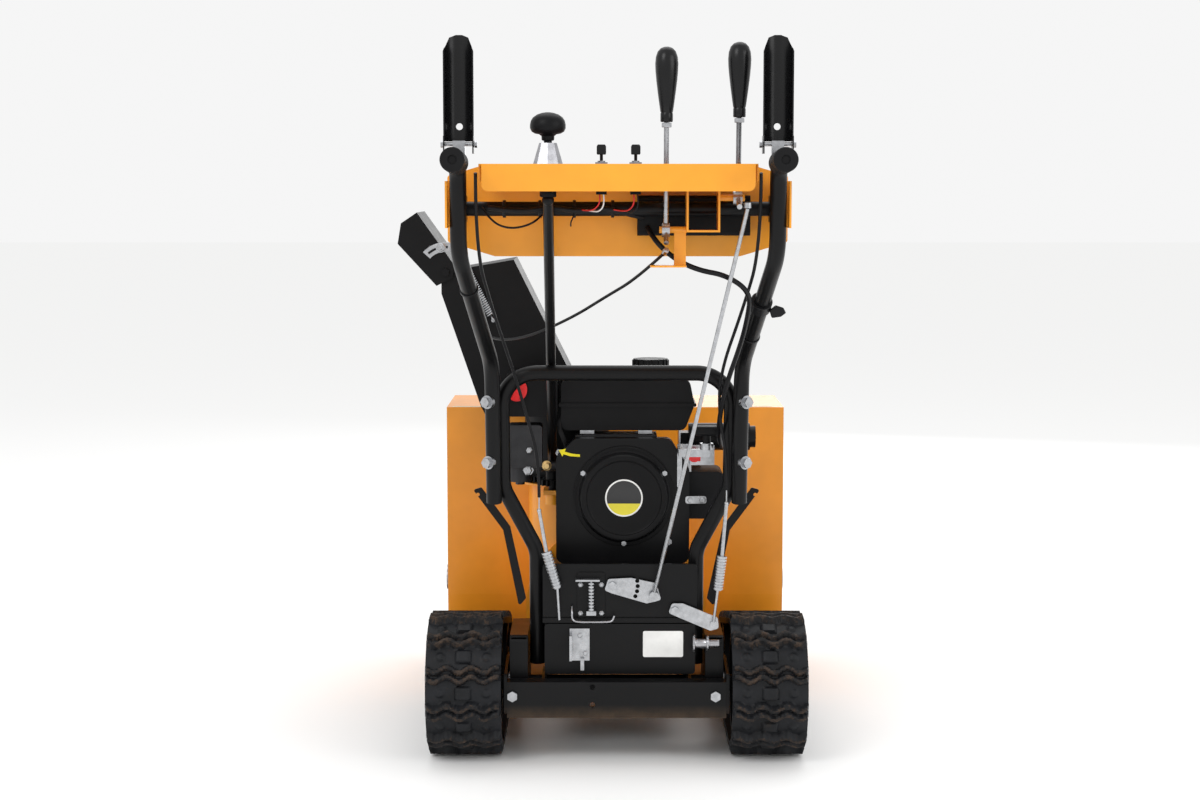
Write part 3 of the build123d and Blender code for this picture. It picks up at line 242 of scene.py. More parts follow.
# ---- materials ----------------------------------------------------------------------------
class Shade:
    """A principled material with a few node helpers."""

    def __init__(self, name, rough, metal=0.0, coat=0.0, coat_rough=0.1, specular=0.5):
        self.mat = bpy.data.materials.new(name)
        self.mat.use_nodes = True
        self.tree = self.mat.node_tree
        self.shader = self.tree.nodes["Principled BSDF"]
        self.shader.inputs["Roughness"].default_value = rough
        self.shader.inputs["Metallic"].default_value = metal
        self.shader.inputs["Coat Weight"].default_value = coat
        self.shader.inputs["Coat Roughness"].default_value = coat_rough
        self.shader.inputs["Specular IOR Level"].default_value = specular
        self.place = self.tree.nodes.new("ShaderNodeTexCoord").outputs["Object"]

    def node(self, kind, **values):
        made = self.tree.nodes.new(kind)
        for key, value in values.items():
            setattr(made, key, value)
        return made

    def link(self, source, target):
        self.tree.links.new(source, target)

    def noise(self, scale, detail=4.0, rough=0.6, stretch=(1, 1, 1)):
        """Noise from 0 to 1 over the object, in grains per metre."""
        spot = self.node("ShaderNodeMapping")
        spot.inputs["Scale"].default_value = stretch
        self.link(self.place, spot.inputs["Vector"])
        made = self.node("ShaderNodeTexNoise")
        made.inputs["Scale"].default_value = scale
        made.inputs["Detail"].default_value = detail
        made.inputs["Roughness"].default_value = rough
        self.link(spot.outputs["Vector"], made.inputs["Vector"])
        return made.outputs["Fac"]

    def ramp(self, factor, *stops):
        """A colour ramp from (position, colour) stops."""
        made = self.node("ShaderNodeValToRGB")
        band = made.color_ramp
        while len(band.elements) < len(stops):
            band.elements.new(0.5)
        for element, (position, colour) in zip(band.elements, stops):
            element.position = position
            element.color = (*colour, 1)
        self.link(factor, made.inputs["Fac"])
        return made.outputs["Color"]

    def math(self, operation, one, two=0.0):
        made = self.node("ShaderNodeMath", operation=operation)
        for socket, value in zip(made.inputs, (one, two)):
            if isinstance(value, (int, float)):
                socket.default_value = value
            else:
                self.link(value, socket)
        return made.outputs["Value"]

    def mix(self, factor, one, two):
        """Colours mixed by a factor socket."""
        made = self.node("ShaderNodeMix", data_type="RGBA")
        self.link(factor, made.inputs["Factor"])
        for key, value in (("A", one), ("B", two)):
            socket = next(s for s in made.inputs if s.name == key and s.type == "RGBA")
            if isinstance(value, tuple):
                socket.default_value = (*value, 1)
            else:
                self.link(value, socket)
        return next(s for s in made.outputs if s.type == "RGBA")

    def spread(self, factor, low, high):
        """A factor from 0 to 1 mapped to low to high."""
        made = self.node("ShaderNodeMapRange")
        made.inputs["To Min"].default_value = low
        made.inputs["To Max"].default_value = high
        self.link(factor, made.inputs["Value"])
        return made.outputs["Result"]

    def colour(self, socket):
        self.link(socket, self.shader.inputs["Base Color"])
        return self

    def roughness(self, socket):
        self.link(socket, self.shader.inputs["Roughness"])
        return self

    def bump(self, height, depth, strength=0.5):
        """Surface relief in mm."""
        made = self.node("ShaderNodeBump")
        made.inputs["Strength"].default_value = strength
        made.inputs["Distance"].default_value = depth * MM
        self.link(height, made.inputs["Height"])
        self.link(made.outputs["Normal"], self.shader.inputs["Normal"])
        return self


def sprayed(name, base, rough, coat=0.2, dirt_top=0.16, specular=0.4, dirt=(0.35, 0.22, 0.12)):
    """Sprayed steel: a fine orange-peel, slight colour drift, dusty low down."""
    shade = Shade(name, rough, coat=coat, coat_rough=0.18, specular=specular)
    drift = shade.noise(9, 3)
    dark = tuple(0.90 * v for v in base)
    light = tuple(min(1.0, 1.06 * v) for v in base)
    paint = shade.ramp(drift, (0.3, dark), (0.7, light))
    height = shade.node("ShaderNodeSeparateXYZ")
    shade.link(shade.place, height.inputs["Vector"])
    low = shade.math("SUBTRACT", 1.0, shade.math("DIVIDE", height.outputs["Z"], dirt_top))
    dust = shade.math("MULTIPLY", shade.math("MAXIMUM", low, 0.0), shade.noise(60, 6, 0.7))
    dust = shade.math("MINIMUM", shade.math("MULTIPLY", dust, 1.1), 0.55)
    shade.colour(shade.mix(dust, paint, dirt))
    shade.roughness(shade.spread(shade.noise(35, 5), rough - 0.06, rough + 0.10))
    shade.bump(shade.noise(700, 2), 0.10, 0.25)
    return shade.mat


def moulded(name, base, rough, grain=900, depth=0.12, strength=0.35, coat=0.0, specular=0.2):
    """Moulded plastic or rubber with a fine grain and faint scuffs."""
    shade = Shade(name, rough, coat=coat, coat_rough=0.15, specular=specular)
    drift = shade.noise(14, 4)
    dark, light = tuple(0.82 * v for v in base), tuple(min(1, 1.22 * v) for v in base)
    shade.colour(shade.ramp(drift, (0.25, dark), (0.75, light)))
    shade.roughness(shade.spread(shade.noise(48, 5), rough - 0.06, rough + 0.12))
    shade.bump(shade.noise(grain, 3), depth, strength)
    return shade.mat


def bare_metal(name, base, rough, stretch=(1, 1, 1), spots=0.12):
    """Plated or bare metal with brushed streaks and dull spots."""
    shade = Shade(name, rough, metal=1.0)
    streak = shade.noise(120, 4, 0.6, stretch)
    dull = tuple((1 - spots) * v for v in base)
    shade.colour(shade.ramp(streak, (0.35, dull), (0.65, base)))
    shade.roughness(shade.spread(shade.noise(70, 5), rough - 0.05, rough + 0.14))
    shade.bump(streak, 0.05, 0.3)
    return shade.mat


def cast_metal(name, base, rough):
    """Sand-cast or sintered metal with a pebbled skin."""
    shade = Shade(name, rough, metal=0.7)
    shade.colour(shade.ramp(shade.noise(40, 5), (0.3, tuple(0.7 * v for v in base)), (0.7, base)))
    shade.roughness(shade.spread(shade.noise(90, 4), rough - 0.05, rough + 0.12))
    shade.bump(shade.noise(420, 4), 0.35, 0.5)
    return shade.mat


def worn_rubber(name):
    """Track rubber: dark, slightly blue, with brown dust in patches."""
    shade = Shade(name, 0.5, specular=0.22)
    base = shade.ramp(shade.noise(22, 5), (0.3, (0.006, 0.0065, 0.0075)), (0.7, (0.013, 0.014, 0.017)))
    patch = shade.ramp(shade.noise(26, 8, 0.75), (0.60, (0, 0, 0)), (0.78, (0.30, 0.30, 0.30)))
    shade.colour(shade.mix(patch, base, (0.085, 0.050, 0.030)))
    shade.roughness(shade.spread(shade.noise(55, 4), 0.38, 0.62))
    shade.bump(shade.noise(520, 4), 0.25, 0.45)
    return shade.mat


def worn_lug(name):
    """The treading faces of the lugs, rubbed brown."""
    shade = Shade(name, 0.6, specular=0.2)
    base = shade.ramp(shade.noise(70, 7, 0.75), (0.46, (0.010, 0.010, 0.011)), (0.74, (0.090, 0.056, 0.036)))
    shade.colour(base)
    shade.roughness(shade.spread(shade.noise(60, 4), 0.5, 0.75))
    shade.bump(shade.noise(420, 5), 0.3, 0.5)
    return shade.mat


def two_tone(name, first, second, limit, axis, rough, wobble=0.0):
    """One colour above a limit along an axis in metres and another below, for printed film."""
    shade = Shade(name, rough, coat=0.3, coat_rough=0.1)
    parts = shade.node("ShaderNodeSeparateXYZ")
    shade.link(shade.place, parts.inputs["Vector"])
    place = shade.math("ADD", parts.outputs[axis], shade.math("MULTIPLY", shade.noise(30, 2), wobble))
    above = shade.math("GREATER_THAN", place, limit)
    tone = shade.mix(above, second, first)
    soft = shade.ramp(shade.noise(24, 4), (0.3, (0.90, 0.90, 0.90)), (0.7, (1.0, 1.0, 1.0)))
    made = shade.node("ShaderNodeMix", data_type="RGBA", blend_type="MULTIPLY")
    made.inputs["Factor"].default_value = 1.0
    colours = [s for s in made.inputs if s.type == "RGBA"]
    shade.link(tone, colours[0])
    shade.link(soft, colours[1])
    shade.colour(next(s for s in made.outputs if s.type == "RGBA"))
    shade.bump(shade.noise(600, 2), 0.04, 0.2)
    return shade.mat


ORANGE = sprayed("orange_paint", (0.86, 0.315, 0.018), 0.34)
PANEL_ORANGE = sprayed("panel_orange", (0.90, 0.355, 0.020), 0.32, coat=0.25)
BLACK_PAINT = sprayed("black_paint", (0.0045, 0.0045, 0.005), 0.30, coat=0.0, dirt_top=0.10, specular=0.18)
DARK_PAINT = sprayed("dark_paint", (0.010, 0.010, 0.011), 0.48, coat=0.0, dirt_top=0.10, specular=0.15)
BLACK_PLASTIC = moulded("black_plastic", (0.0055, 0.0055, 0.006), 0.38, specular=0.14)
GLOSS_PLASTIC = moulded("gloss_plastic", (0.004, 0.004, 0.0045), 0.24, grain=500, depth=0.05, specular=0.3)
RED_PLASTIC = moulded("red_plastic", (0.62, 0.010, 0.012), 0.30, grain=600, depth=0.05, coat=0.2, specular=0.4)
ZINC = bare_metal("zinc", (0.50, 0.51, 0.53), 0.24, spots=0.22)
STEEL = bare_metal("steel", (0.46, 0.46, 0.48), 0.24, (1, 1, 6), spots=0.2)
CAST = cast_metal("cast", (0.045, 0.045, 0.048), 0.48)
ALLOY = cast_metal("alloy", (0.16, 0.16, 0.17), 0.42)
BRASS = bare_metal("brass", (0.72, 0.50, 0.22), 0.30)
TRACK = worn_rubber("track_rubber")
LUG_FACE = worn_lug("track_lug")
RUBBER = moulded("rubber", (0.007, 0.007, 0.0075), 0.55, grain=420, depth=0.3, strength=0.5, specular=0.15)
CABLE = moulded("cable_sheath", (0.005, 0.005, 0.006), 0.36, grain=300, depth=0.06)
TAPE = moulded("tape", (0.008, 0.008, 0.009), 0.32, grain=240, depth=0.2)
CREAM = moulded("cream_tape", (0.62, 0.56, 0.42), 0.6, grain=240, depth=0.2)
ROPE = moulded("braided_rope", (0.05, 0.05, 0.055), 0.7, grain=900, depth=0.3, strength=0.8)
FILM = moulded("panel_film", (0.26, 0.165, 0.150), 0.38, grain=300, depth=0.05)
LABEL = moulded("white_label", (0.80, 0.80, 0.78), 0.40, grain=300, depth=0.03)
YELLOW = moulded("yellow_film", (0.80, 0.68, 0.02), 0.36, grain=300, depth=0.03)
BADGE = two_tone("badge_film", (0.006, 0.006, 0.007), (0.78, 0.68, 0.03), 0.4145, "Z", 0.30)
CHROME = bare_metal("polished", (0.36, 0.36, 0.38), 0.16, spots=0.25)

SLOT_LOOKS = {
    "orange_paint": ORANGE, "panel_orange": PANEL_ORANGE, "black_paint": BLACK_PAINT,
    "dark_paint": DARK_PAINT, "black_plastic": BLACK_PLASTIC, "gloss_plastic": GLOSS_PLASTIC,
    "red_plastic": RED_PLASTIC, "zinc": ZINC, "steel": STEEL, "cast": CAST, "alloy": ALLOY,
    "track_rubber": TRACK, "rubber": RUBBER, "cable": CABLE,
}


def dress_nodes():
    """Every carried-over CAD node gets the look of its record slot."""
    for part in frame["record"]["subparts"]:
        obj = NODES.get(part["node"])
        if obj is None:
            continue
        look = SLOT_LOOKS[part["material_slot"]]
        obj.data.materials.clear()
        obj.data.materials.append(look)
        for face in obj.data.polygons:
            face.material_index = 0


def repaint(node, look, test):
    """Faces of a CAD node whose middle and normal pass the test, in mm, take another look."""
    mesh = NODES[node].data
    mesh.materials.append(look)
    index = len(mesh.materials) - 1
    for face in mesh.polygons:
        if test(face.center / MM, face.normal):
            face.material_index = index


# ---- tracks -------------------------------------------------------------------------------
REAR_WHEEL, FRONT_WHEEL = (-525.0, 120.0), (-222.0, 90.0)     # Y, Z; each radius is its height
BELT_EDGES = (190.0, 314.0)
LUG, BELT = 12.0, 22.0
LUG_PITCH = 60.0
TREAD_STEP, CROSS_STEPS = 2.5, 44
WORN_ABOVE = 0.8                # share of the lug height where the rubber is rubbed brown


def loop_path(drop):
    """Closed belt line around both wheels at a depth below the lug tips: (Y, Z, outward Y, outward Z)."""
    rear, front = REAR_WHEEL[1] - drop, FRONT_WHEEL[1] - drop
    dy, dz = FRONT_WHEEL[0] - REAR_WHEEL[0], FRONT_WHEEL[1] - REAR_WHEEL[1]
    along, reach = math.atan2(dz, dy), math.hypot(dy, dz)
    swing = math.acos((rear - front) / reach)
    line = []

    def turn_round(wheel, radius, first, last):
        steps = max(8, round(abs(last - first) * (radius + drop) / TREAD_STEP))
        for k in range(steps + 1):
            t = first + (last - first) * k / steps
            cos, sin = math.cos(t), math.sin(t)
            line.append((wheel[0] + radius * cos, wheel[1] + radius * sin, cos, sin))

    def run(turn, ends):
        steps = round(reach / TREAD_STEP)
        for k in range(1, steps):
            (y0, z0), (y1, z1) = ends
            f = k / steps
            line.append((y0 + (y1 - y0) * f, z0 + (z1 - z0) * f, math.cos(turn), math.sin(turn)))

    def touch(wheel, radius, turn):
        return wheel[0] + radius * math.cos(turn), wheel[1] + radius * math.sin(turn)

    top, low = along + swing, along - swing
    turn_round(FRONT_WHEEL, front, low, top)
    run(top, (touch(FRONT_WHEEL, front, top), touch(REAR_WHEEL, rear, top)))
    turn_round(REAR_WHEEL, rear, top, low + 2 * math.pi)
    run(low, (touch(REAR_WHEEL, rear, low), touch(FRONT_WHEEL, front, low)))
    return line


def tread_height(place, across):
    """Rubber height above the belt at a place along the loop and across it, in mm."""
    phase = place % LUG_PITCH - LUG_PITCH / 2
    wave = 4.2 * math.sin(across * 2 * math.pi / 41 + 0.6)
    ridge = 0.0
    for offset in (-7.0, 7.0):
        away = abs(phase - wave - offset)
        ridge = max(ridge, min(1.0, max(0.0, (5.6 - away) / 2.2)))
    height = ridge * (LUG - 0.2)
    web = min(1.0, max(0.0, (9.0 - abs(phase - wave)) / 2.0)) * 4.5
    height = max(height, web)
    block = min(1.0, max(0.0, (11.0 - abs(abs(phase) - 30)) / 2)) * min(1.0, max(0.0, (13 - abs(across)) / 2))
    height = max(height, 5.5 * block)
    for knob in (-38, 38):
        away = math.hypot(abs(abs(phase) - 30), across - knob)
        height = max(height, 3.6 * min(1.0, max(0.0, (7.5 - away) / 2)))
    edge = min(1.0, max(0.0, (62 - abs(across)) / 2.5))
    return height * (0.35 + 0.65 * edge)


def track(side):
    """The whole rubber belt: moulded tread outside, a flat band inside."""
    name = "track_rubber_" + ("left" if side < 0 else "right")
    outer, inner = loop_path(LUG), loop_path(BELT)
    lengths, total = [0.0], 0.0
    for one, two in zip(outer, outer[1:] + outer[:1]):
        total += math.hypot(two[0] - one[0], two[1] - one[1])
        lengths.append(total)
    stretch = round(total / LUG_PITCH) * LUG_PITCH / total
    low, high = BELT_EDGES
    middle, points = (low + high) / 2, []
    for (y, z, oy, oz), place in zip(outer, lengths):
        for k in range(CROSS_STEPS + 1):
            x = low + (high - low) * k / CROSS_STEPS
            rise = tread_height(place * stretch, x - middle)
            points.append((side * x * MM, (y + oy * rise) * MM, max(0.2, z + oz * rise) * MM))
    row = CROSS_STEPS + 1
    rows = len(outer)
    faces = []
    for j in range(rows):
        for k in range(CROSS_STEPS):
            a, b = j * row + k, ((j + 1) % rows) * row + k
            faces.append((a, a + 1, b + 1, b))
    start = len(points)
    for y, z, _, _ in inner:
        for x in (low, high):
            points.append((side * x * MM, y * MM, z * MM))
    for j in range(len(inner)):
        a, b = start + 2 * j, start + 2 * ((j + 1) % len(inner))
        faces.append((a, b, b + 1, a + 1))
    for j in range(rows):
        n = (j + 1) % rows
        faces.append((j * row, n * row, start + 2 * n, start + 2 * j))
        faces.append((j * row + row - 1, start + 2 * j + 1, start + 2 * n + 1, n * row + row - 1))
    obj = smooth(mesh_object(name, points, faces), 50)
    finish_piece(obj, [TRACK, LUG_FACE], "machine")
    for face in obj.data.polygons:
        j = face.vertices[0] // row
        if j < rows:
            x = abs(face.center.x) / MM - middle
            if face.vertices[0] < start and tread_height(lengths[j] * stretch, x) > LUG * WORN_ABOVE:
                face.material_index = 1
    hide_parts("track_belt_" + ("left" if side < 0 else "right"))


# ---- cables -------------------------------------------------------------------------------
def held_cables():
    """Cables clipped to the frame, on the same routes as the CAD ones."""
    harness = cable_curve("wiring_harness", [
        (45, -799.5, 890), (54, -824, 872), (82, -834, 845), (120, -832, 826), (165, -826, 818),
        (204, -796, 790), (202, -740, 745), (196, -680, 702), (174, -620, 625), (166, -556, 545),
        (178, -505, 512), (190, -430, 508)], 4.0)
    finish_piece(harness, CABLE, "machine")
    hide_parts("cables")
    for side, x_low, z_low in ((-1, -128, 503), (1, 181, 515)):
        x_mid = -146 if side < 0 else 168
        wire = cable_curve("clutch_cable_" + ("left" if side < 0 else "right"), [
            (side * 211, -893, 972), (side * 214, -852, 858), (side * 196, -730, 762),
            (side * 166, -622, 650), (x_mid, -578, 572), (x_low, -572, z_low),
            (x_low, -572, z_low - 62)], 2.6)
        finish_piece(wire, CABLE, "machine")
    arc_cable = cable_curve("deflector_cable_sheath", [
        (72, -872, 856), (30, -790, 812), (-20, -705, 778), (-70, -620, 742), (-150, -520, 700),
        (-215, -430, 690), (-246, -350, 720), (-262, -302, 770)], 2.4)
    finish_piece(arc_cable, CABLE, "machine")
    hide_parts("deflector_cable")
    ends = ((72, -872, 858), (67, -858, 850)), ((-259, -310, 762), (-263.5, -298, 776))
    for number, (start, end) in enumerate(ends):
        length = (Vector(end) - Vector(start)).length
        profile = [(2.6, 0), (4.4, 0.4), (4.4, length * 0.55), (3.6, length * 0.6), (3.6, length * 0.9),
                   (2.6, length)]
        sleeve = lathe(f"cable_ferrule_{number}", profile, start, end, 24)
        finish_piece(sleeve, ZINC, "machine")



# ---- small parts --------------------------------------------------------------------------
def box_outline(x0, x1, z0, z1, corner):
    """A rectangle with round corners."""
    low_x, high_x, low_z, high_z = x0 + corner, x1 - corner, z0 + corner, z1 - corner
    corners = ((high_x, high_z), (low_x, high_z), (low_x, low_z), (high_x, low_z))
    points = []
    for quarter, (x, z) in enumerate(corners):
        points += arc(x, z, corner, 90 * quarter, 90 * quarter + 90, 5)
    return points


def ring_piece(name, middle, direction, inner, width, thick, look, body):
    """A band around a tube or bar, such as a clamp or a cable tie."""
    middle, direction = Vector(middle), Vector(direction).normalized()
    start, end = middle - direction * width / 2, middle + direction * width / 2
    lip = min(0.8, thick / 2)
    profile = [(inner, 0), (inner + thick - lip, 0), (inner + thick, lip), (inner + thick, width - lip),
               (inner + thick - lip, width), (inner, width)]
    return finish_piece(lathe(name, profile, start, end, 32), look, body)


def recoil_starter():
    """Flat starter disc with a stepped rim, and its round badge."""
    rim = [(86, 0), (86, 5), (85, 6), (79.5, 6.2), (77, 8.5), (75, 21), (74, 25.5), (72.5, 27.6), (70.8, 28),
           (66, 28), (64.2, 27.2), (63.2, 25), (61.5, 24), (58, 23.8), (40, 23.8), (38, 24), (0.5, 24)]
    cover = lathe("starter_disc", rim, (13, -440, 424), (13, -500, 424), 96)
    finish_piece(cover, BLACK_PLASTIC, "machine")
    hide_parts("recoil_cover")
    badge = lathe("round_badge", [(32, 0), (32, 0.35), (31.4, 0.55), (29.9, 0.55), (29.5, 0.35), (0.5, 0.35)],
                  (13, -464, 424), (13, -500, 424), 72)
    finish_piece(badge, [BADGE, LABEL], "machine")
    for face in badge.data.polygons:
        middle = face.center / MM
        if math.hypot(middle.x - 13, middle.z - 424) > 29.6:
            face.material_index = 1
    arrow = [(-98, 503), (-86, 505.5), (-88, 500.5), (-76, 497), (-62, 495.6), (-62, 491.5), (-78, 492.5),
             (-90, 496), (-92, 492)]
    finish_piece(prism("pull_arrow", arrow, -440.2, -440.7), YELLOW, "machine")


def hand_controls():
    """Ribbed grips, pear-shaped lever grips and the mushroom knob."""
    for side, name in ((-1, "left"), (1, "right")):
        top, tip = Vector((side * 238, -880, 985)), Vector((side * 235, -1042, 990))
        direction = (tip - top).normalized()
        start, end = top + direction * 45, tip + direction * 3
        length = (end - start).length
        profile = [(12.9, 0), (17.2, 0), (17.9, 1)]
        place = 3.0
        while place < length - 8:
            profile += [(17.9, place), (17.9, place + 2.8), (16.9, place + 3.5), (16.9, place + 4.4)]
            place += 5.1
        profile += [(17.9, length - 4), (17.6, length - 1.4), (16.2, length - 0.2), (7.0, length - 0.2),
                    (6.2, length - 1), (6.0, length - 3), (0.5, length - 3)]
        grip = lathe("grip_rubber_" + name, profile, start, end, 48)
        finish_piece(grip, RUBBER, "machine")
        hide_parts("handle_grips")
    pear = [(6.0, -111), (8.6, -110.8), (9.4, -109.5), (9.4, -98.5), (8.8, -97), (9.6, -95), (11.2, -84), (13.4, -68),
            (15.6, -50), (16.9, -36), (17.3, -25), (16.4, -15), (13.6, -7), (9, -2.2), (4, -0.2), (0.5, 0.2)]
    for x, top, body, name in ((72, 1158, "tilt_control", "tilt"), (180, 1165, "speed_control", "speed")):
        grip = lathe(name + "_grip", pear, (x, -865, top), (x, -865, top + 10), 40)
        finish_piece(grip, GLOSS_PLASTIC, body)
        low = top - 119
        nut = lathe(name + "_nut", [(4.1, 0), (7, 0.3), (7.4, 1), (7.4, 6.2), (7, 7), (4.1, 7.2)],
                    (x, -865, low), (x, -865, low + 9), 6)
        finish_piece(nut, ZINC, body)
    knob = [(9.6, 936), (12.2, 937), (12.5, 939), (12.5, 948.5), (11.5, 950), (6, 950.4), (6, 1019), (8.6, 1019.6),
            (9.4, 1021), (9.6, 1026), (13, 1028.6), (19, 1029.6), (24, 1032.5), (26.4, 1037.5), (26.5, 1042.5),
            (25.2, 1048.5), (22, 1053.4), (16, 1057.6), (9, 1060), (3, 1060.9), (0.5, 1061)]
    top = lathe("mushroom_knob", knob, (-104, -888, 0), (-104, -888, 100), 48)
    finish_piece(top, BLACK_PLASTIC, "knob")
    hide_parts("chute_knob")


HOOD_X, HOOD_Z = -300, 800          # pivot of the chute's hood
POST_END = -303                     # Y of the spring posts' ends


def deflector_fittings():
    """Slotted quadrant, its slot a black sheet of painted shade, and return spring on the chute's hood."""
    high, low = (-272, -298.5, 826), (-216, -298.5, 716)
    band = arc(HOOD_X, HOOD_Z, 53, 78, 138, 14) + arc(HOOD_X, HOOD_Z, 36, 138, 78, 14)
    plate = prism("hood_quadrant", band, -292.8, -295.3)
    finish_piece(plate, ZINC, "deflector_hood", bevel=0.0004)
    # the slot is not cut through: a thin black sheet over the plate is painted shade standing in for the open slot
    slot = arc(HOOD_X, HOOD_Z, 46.5, 84, 132, 12) + arc(HOOD_X, HOOD_Z, 42.5, 132, 84, 12)
    finish_piece(prism("quadrant_slot_shade", slot, -295.2, -295.6), BLACK_PAINT, "deflector_hood")
    x, z = HOOD_X + 44.5 * math.cos(math.radians(100)), HOOD_Z + 44.5 * math.sin(math.radians(100))
    stud = [(9, 0), (9, 1.4), (7.4, 1.6), (7.4, 6.2), (6.6, 7), (4, 7), (4, 9.4), (3.4, 10), (0.5, 10)]
    finish_piece(lathe("quadrant_bolt", stud, (x, -295.2, z), (x, -320, z), 24), ZINC, "deflector_hood")
    spring = coil("hood_spring", high, low, 6.2, 1.25, 26)
    spring.data.materials.append(ZINC)
    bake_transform(spring)
    for number, (spot, back, body) in enumerate(((high, -292.4, "deflector_hood"), (low, -286, "chute_turning"))):
        reach = abs(POST_END - back)
        pin = [(3.4, 0), (3.4, 1), (2.4, 1.4), (2.4, reach - 1), (3.6, reach - 0.8), (3.6, reach),
               (0.5, reach + 0.2)]
        post = lathe(f"spring_post_{number}", pin, (spot[0], back, spot[2]), (spot[0], -320, spot[2]), 20)
        finish_piece(post, ZINC, body)


def labels_and_clips():
    """Blank labels, tube clamps, cable ties, bar harness and small wires."""
    finish_piece(prism("blank_label", box_outline(44, 111, 170, 214, 3), -557.2, -557.7), LABEL, "machine")
    for x0, x1, name in ((-303, -246, "left"), (236, 290, "right")):
        strip = prism("edge_label_" + name, box_outline(x0, x1, -104, -92, 1.5), 542.0, 542.35, "Z")
        finish_piece(strip, CREAM, "machine")
    high, low = Vector((238, -845, 850)), Vector((203, -601, 662))     # right tube's slanting run
    for spot, name, width, thick in ((0.43, "clamp_right", 20, 4.2), (0.72, "tie_right", 5, 1.8)):
        ring_piece("tube_" + name, high.lerp(low, spot), low - high, 12.9, width, thick, TAPE, "machine")
    clip = [(236, 760), (246, 768), (258, 764), (262, 756), (254, 750), (240, 748)]
    finish_piece(prism("clamp_tail", clip, -737, -747), TAPE, "machine", bevel=0.0015)
    left_high, left_low = Vector((-240, -845, 850)), Vector((-203, -601, 662))
    ring_piece("tube_tie_left", left_high.lerp(left_low, 0.3), left_low - left_high, 12.9, 5, 1.8, TAPE, "machine")
    for number, x in enumerate((-172, -118, -66, -8)):
        ring_piece(f"bar_tie_{number}", (x, -815, 918), (1, 0, 0), 11.3, 5, 2.2, TAPE, "machine")
    tail = cable_curve("bar_tie_tail", [(-66, -828, 914), (-67, -833, 906), (-72, -834, 897), (-71, -832, 892)], 1.1)
    finish_piece(tail, TAPE, "machine")
    bundle = cable_curve("bar_harness", [(-196, -828, 920), (-150, -830, 913), (-100, -828, 921), (-60, -830, 914),
                         (-20, -828, 920), (10, -826, 912), (38, -806, 905)], 4.2)
    finish_piece(bundle, TAPE, "machine")
    for number, (x, drop, look) in enumerate(((-28, 0, RED_PLASTIC), (-22, 4, LABEL), (23, 2, RED_PLASTIC),
                                              (29, 6, TAPE))):
        wire = cable_curve(f"switch_wire_{number}", [(x, -866, 942), (x + 2, -868, 930 - drop),
                           (x - 6, -856, 918 - drop), (x - 18, -838, 915), (x - 30, -830, 917)], 1.1)
        finish_piece(wire, look, "machine")
    loop = cable_curve("knob_side_wire", [(-205, -828, 920), (-190, -846, 898), (-160, -858, 888), (-128, -850, 896),
                       (-112, -836, 912), (-96, -828, 920)], 1.6)
    finish_piece(loop, CABLE, "machine")


def engine_fittings():
    """Brass and zinc fittings, hoses and a small tab round the engine."""
    for number, (x, z, radius, look) in enumerate(((-120, 470, 6.5, BRASS), (-150, 497, 5.5, ZINC), (-98, 492, 5, ZINC),
                                                   (-152, 462, 7.5, ZINC))):
        profile = [(radius + 2, 0), (radius + 2, 1.5), (radius, 2), (radius, 7), (radius - 1.4, 8), (radius - 1.4, 11),
                   (radius - 2, 11.6), (0.5, 11.6)]
        finish_piece(lathe(f"carburettor_fitting_{number}", profile, (x, -390, z), (x, -420, z), 6 if number else 24),
                     look, "machine")
    hose = cable_curve("fuel_hose", [(-88, -396, 492), (-84, -412, 504), (-92, -420, 524), (-100, -408, 542),
                       (-92, -392, 556)], 4.0)
    finish_piece(hose, RUBBER, "machine")
    lead = cable_curve("starter_lead", [(150, -352, 520), (168, -380, 532), (196, -392, 520), (204, -384, 486),
                       (190, -370, 452), (176, -360, 420)], 4.4)
    finish_piece(lead, RUBBER, "machine")
    tab = box_outline(118, 154, 411, 424, 4)
    finish_piece(prism("harness_tab", tab, -440.2, -442.4), ZINC, "machine", bevel=0.0004)
    for number, x in enumerate((126, 146)):
        head = [(4.6, 0), (4.6, 2.6), (3.8, 3.4), (0.5, 3.4)]
        finish_piece(lathe(f"tab_screw_{number}", head, (x, -442.4, 417.5), (x, -460, 417.5), 6), ZINC, "machine")



def pull_rope():
    """Starter rope where it leaves its guide, as a fixed piece."""
    low, high, rings = 517.2, 523.8, 24
    step = (high - low) / rings
    profile = [(2.2 + 0.15 * (k % 2), k * step) for k in range(rings + 1)]
    rope = lathe("pull_rope", profile, (151, -505, low), (151, -505, high), 16)
    rope.data.materials.append(ROPE)
    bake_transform(rope)
    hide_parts("starter_rope")


def stud_head(name, spot, radius, height, look=None, sides=6, body="machine"):
    """A screw head standing off a rear-facing surface."""
    x, y, z = spot
    profile = [(radius * 1.25, 0), (radius * 1.25, 0.8), (radius, 1), (radius, height - 0.6), (radius - 0.8, height),
               (0.5, height)]
    head = lathe(name, profile, (x, y, z), (x, y - 20, z), sides)
    return finish_piece(head, look or ZINC, body)


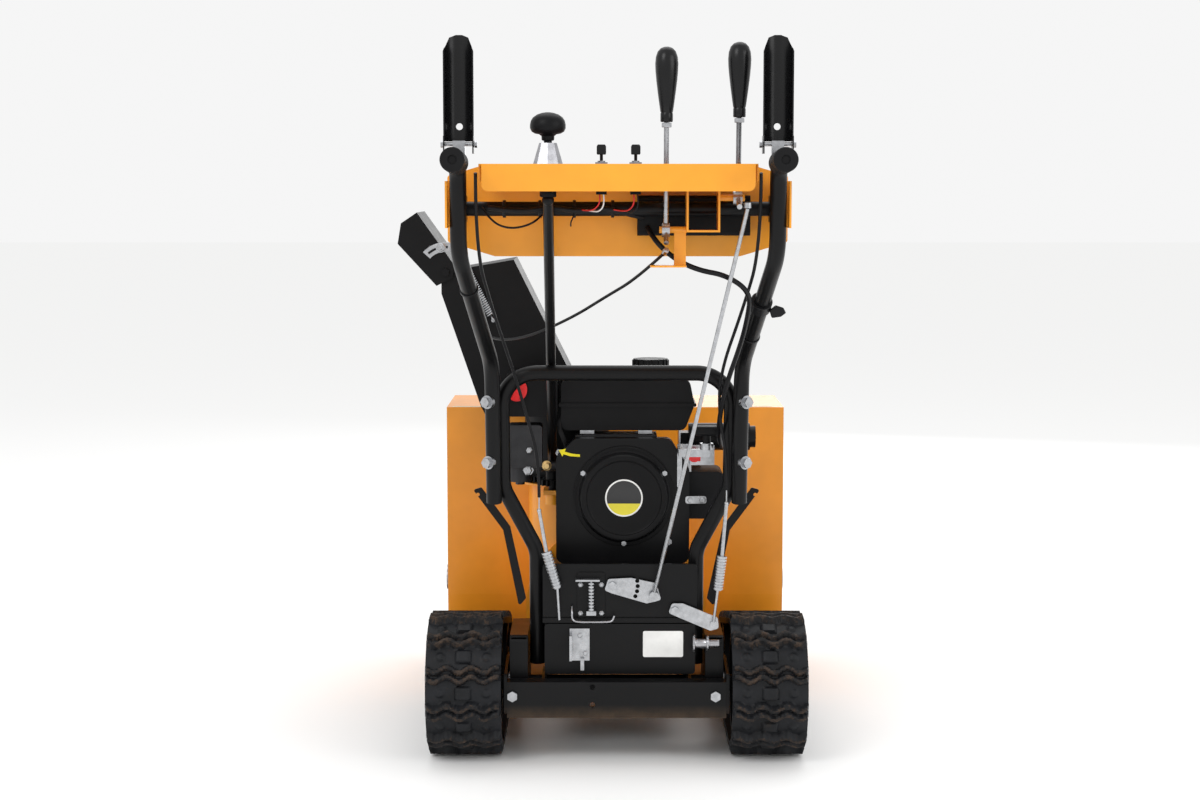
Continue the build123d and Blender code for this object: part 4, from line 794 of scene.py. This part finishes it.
def rear_fittings():
    """Spring bracket, hook rod, latch screws and the small shaft beside the lower cover."""
    back = prism("spring_bracket", box_outline(-66, -19, 236, 313, 5), -554.2, -556.6)
    finish_piece(back, BLACK_PAINT, "machine", bevel=0.0006)
    for number, (x, z) in enumerate(((-60, 244), (-25, 244), (-60, 292), (-25, 292))):
        stud_head(f"spring_bracket_screw_{number}", (x, -556.6, z), 3.4, 4)
    hooks = cable_curve("hook_rod", [(-74, -562, 256), (-74, -571, 250), (-74, -572, 236), (-66, -572, 232),
                                     (-40, -572, 232), (-14, -572, 232), (-6, -572, 234), (-4, -570, 242)], 1.8)
    finish_piece(hooks, STEEL, "machine")
    for number, (x, z) in enumerate(((-61, 208), (-52, 178))):
        stud_head(f"latch_screw_{number}", (x, -562, z), 4, 4.5)
    shaft = [(6, 0), (14.5, 0.4), (15, 1), (15, 3.2), (14.5, 3.8), (8.4, 4.2), (8, 5), (8, 22), (8.4, 22.6),
             (12.6, 23), (13, 23.6), (13, 26), (12.6, 26.6), (6.5, 27), (6.5, 44), (0.5, 44)]
    axle = lathe("side_shaft", shaft, (126, -571.5, 196), (180, -571.5, 196), 40)
    finish_piece(axle, STEEL, "machine")
    drop = prism("cable_bracket", box_outline(84, 102, 833, 884, 2), -846, -848.5)
    finish_piece(drop, PANEL_ORANGE, "machine", bevel=0.0005)
    foot = prism("cable_bracket_foot", box_outline(48, 102, -884, -846, 5), 832, 834.5, "Z")
    finish_piece(foot, PANEL_ORANGE, "machine", bevel=0.0005)
    for x, body, name in ((-25, "left_toggle", "left"), (26, "right_toggle", "right")):
        cap = [(-6.5, 999), (6.5, 999), (7, 1001), (7, 1011), (5.5, 1014), (-5.5, 1014), (-7, 1011), (-7, 1001)]
        cover = prism("switch_cap_" + name, [(x + a, b) for a, b in cap], -865.5, -876)
        finish_piece(cover, GLOSS_PLASTIC, body, bevel=0.0009)


# ---- scene --------------------------------------------------------------------------------
def build():
    dress_nodes()
    for side in (-1, 1):
        track(side)
    held_cables()
    recoil_starter()
    hand_controls()
    deflector_fittings()
    labels_and_clips()
    engine_fittings()
    rear_fittings()
    pull_rope()
    for node, look in (("belt_cover", BLACK_PLASTIC), ("carburettor", CAST), ("engine_block", CAST),
                       ("heater_switch", GLOSS_PLASTIC), ("light_switch", GLOSS_PLASTIC)):
        NODES[node].data.materials[0] = look
    repaint("control_panel", FILM, lambda at, normal: normal.z > 0.9 and at.z > 984)
    repaint("control_supports", CHROME, lambda at, normal: at.z > 985.2)
    repaint("panel_switch_box", CHROME, lambda at, normal: at.z > 985.2)
    repaint("tilt_lever", GLOSS_PLASTIC, lambda at, normal: at.z > 1047)
    repaint("speed_lever", GLOSS_PLASTIC, lambda at, normal: at.z > 1054)


build()
camera_and_light()
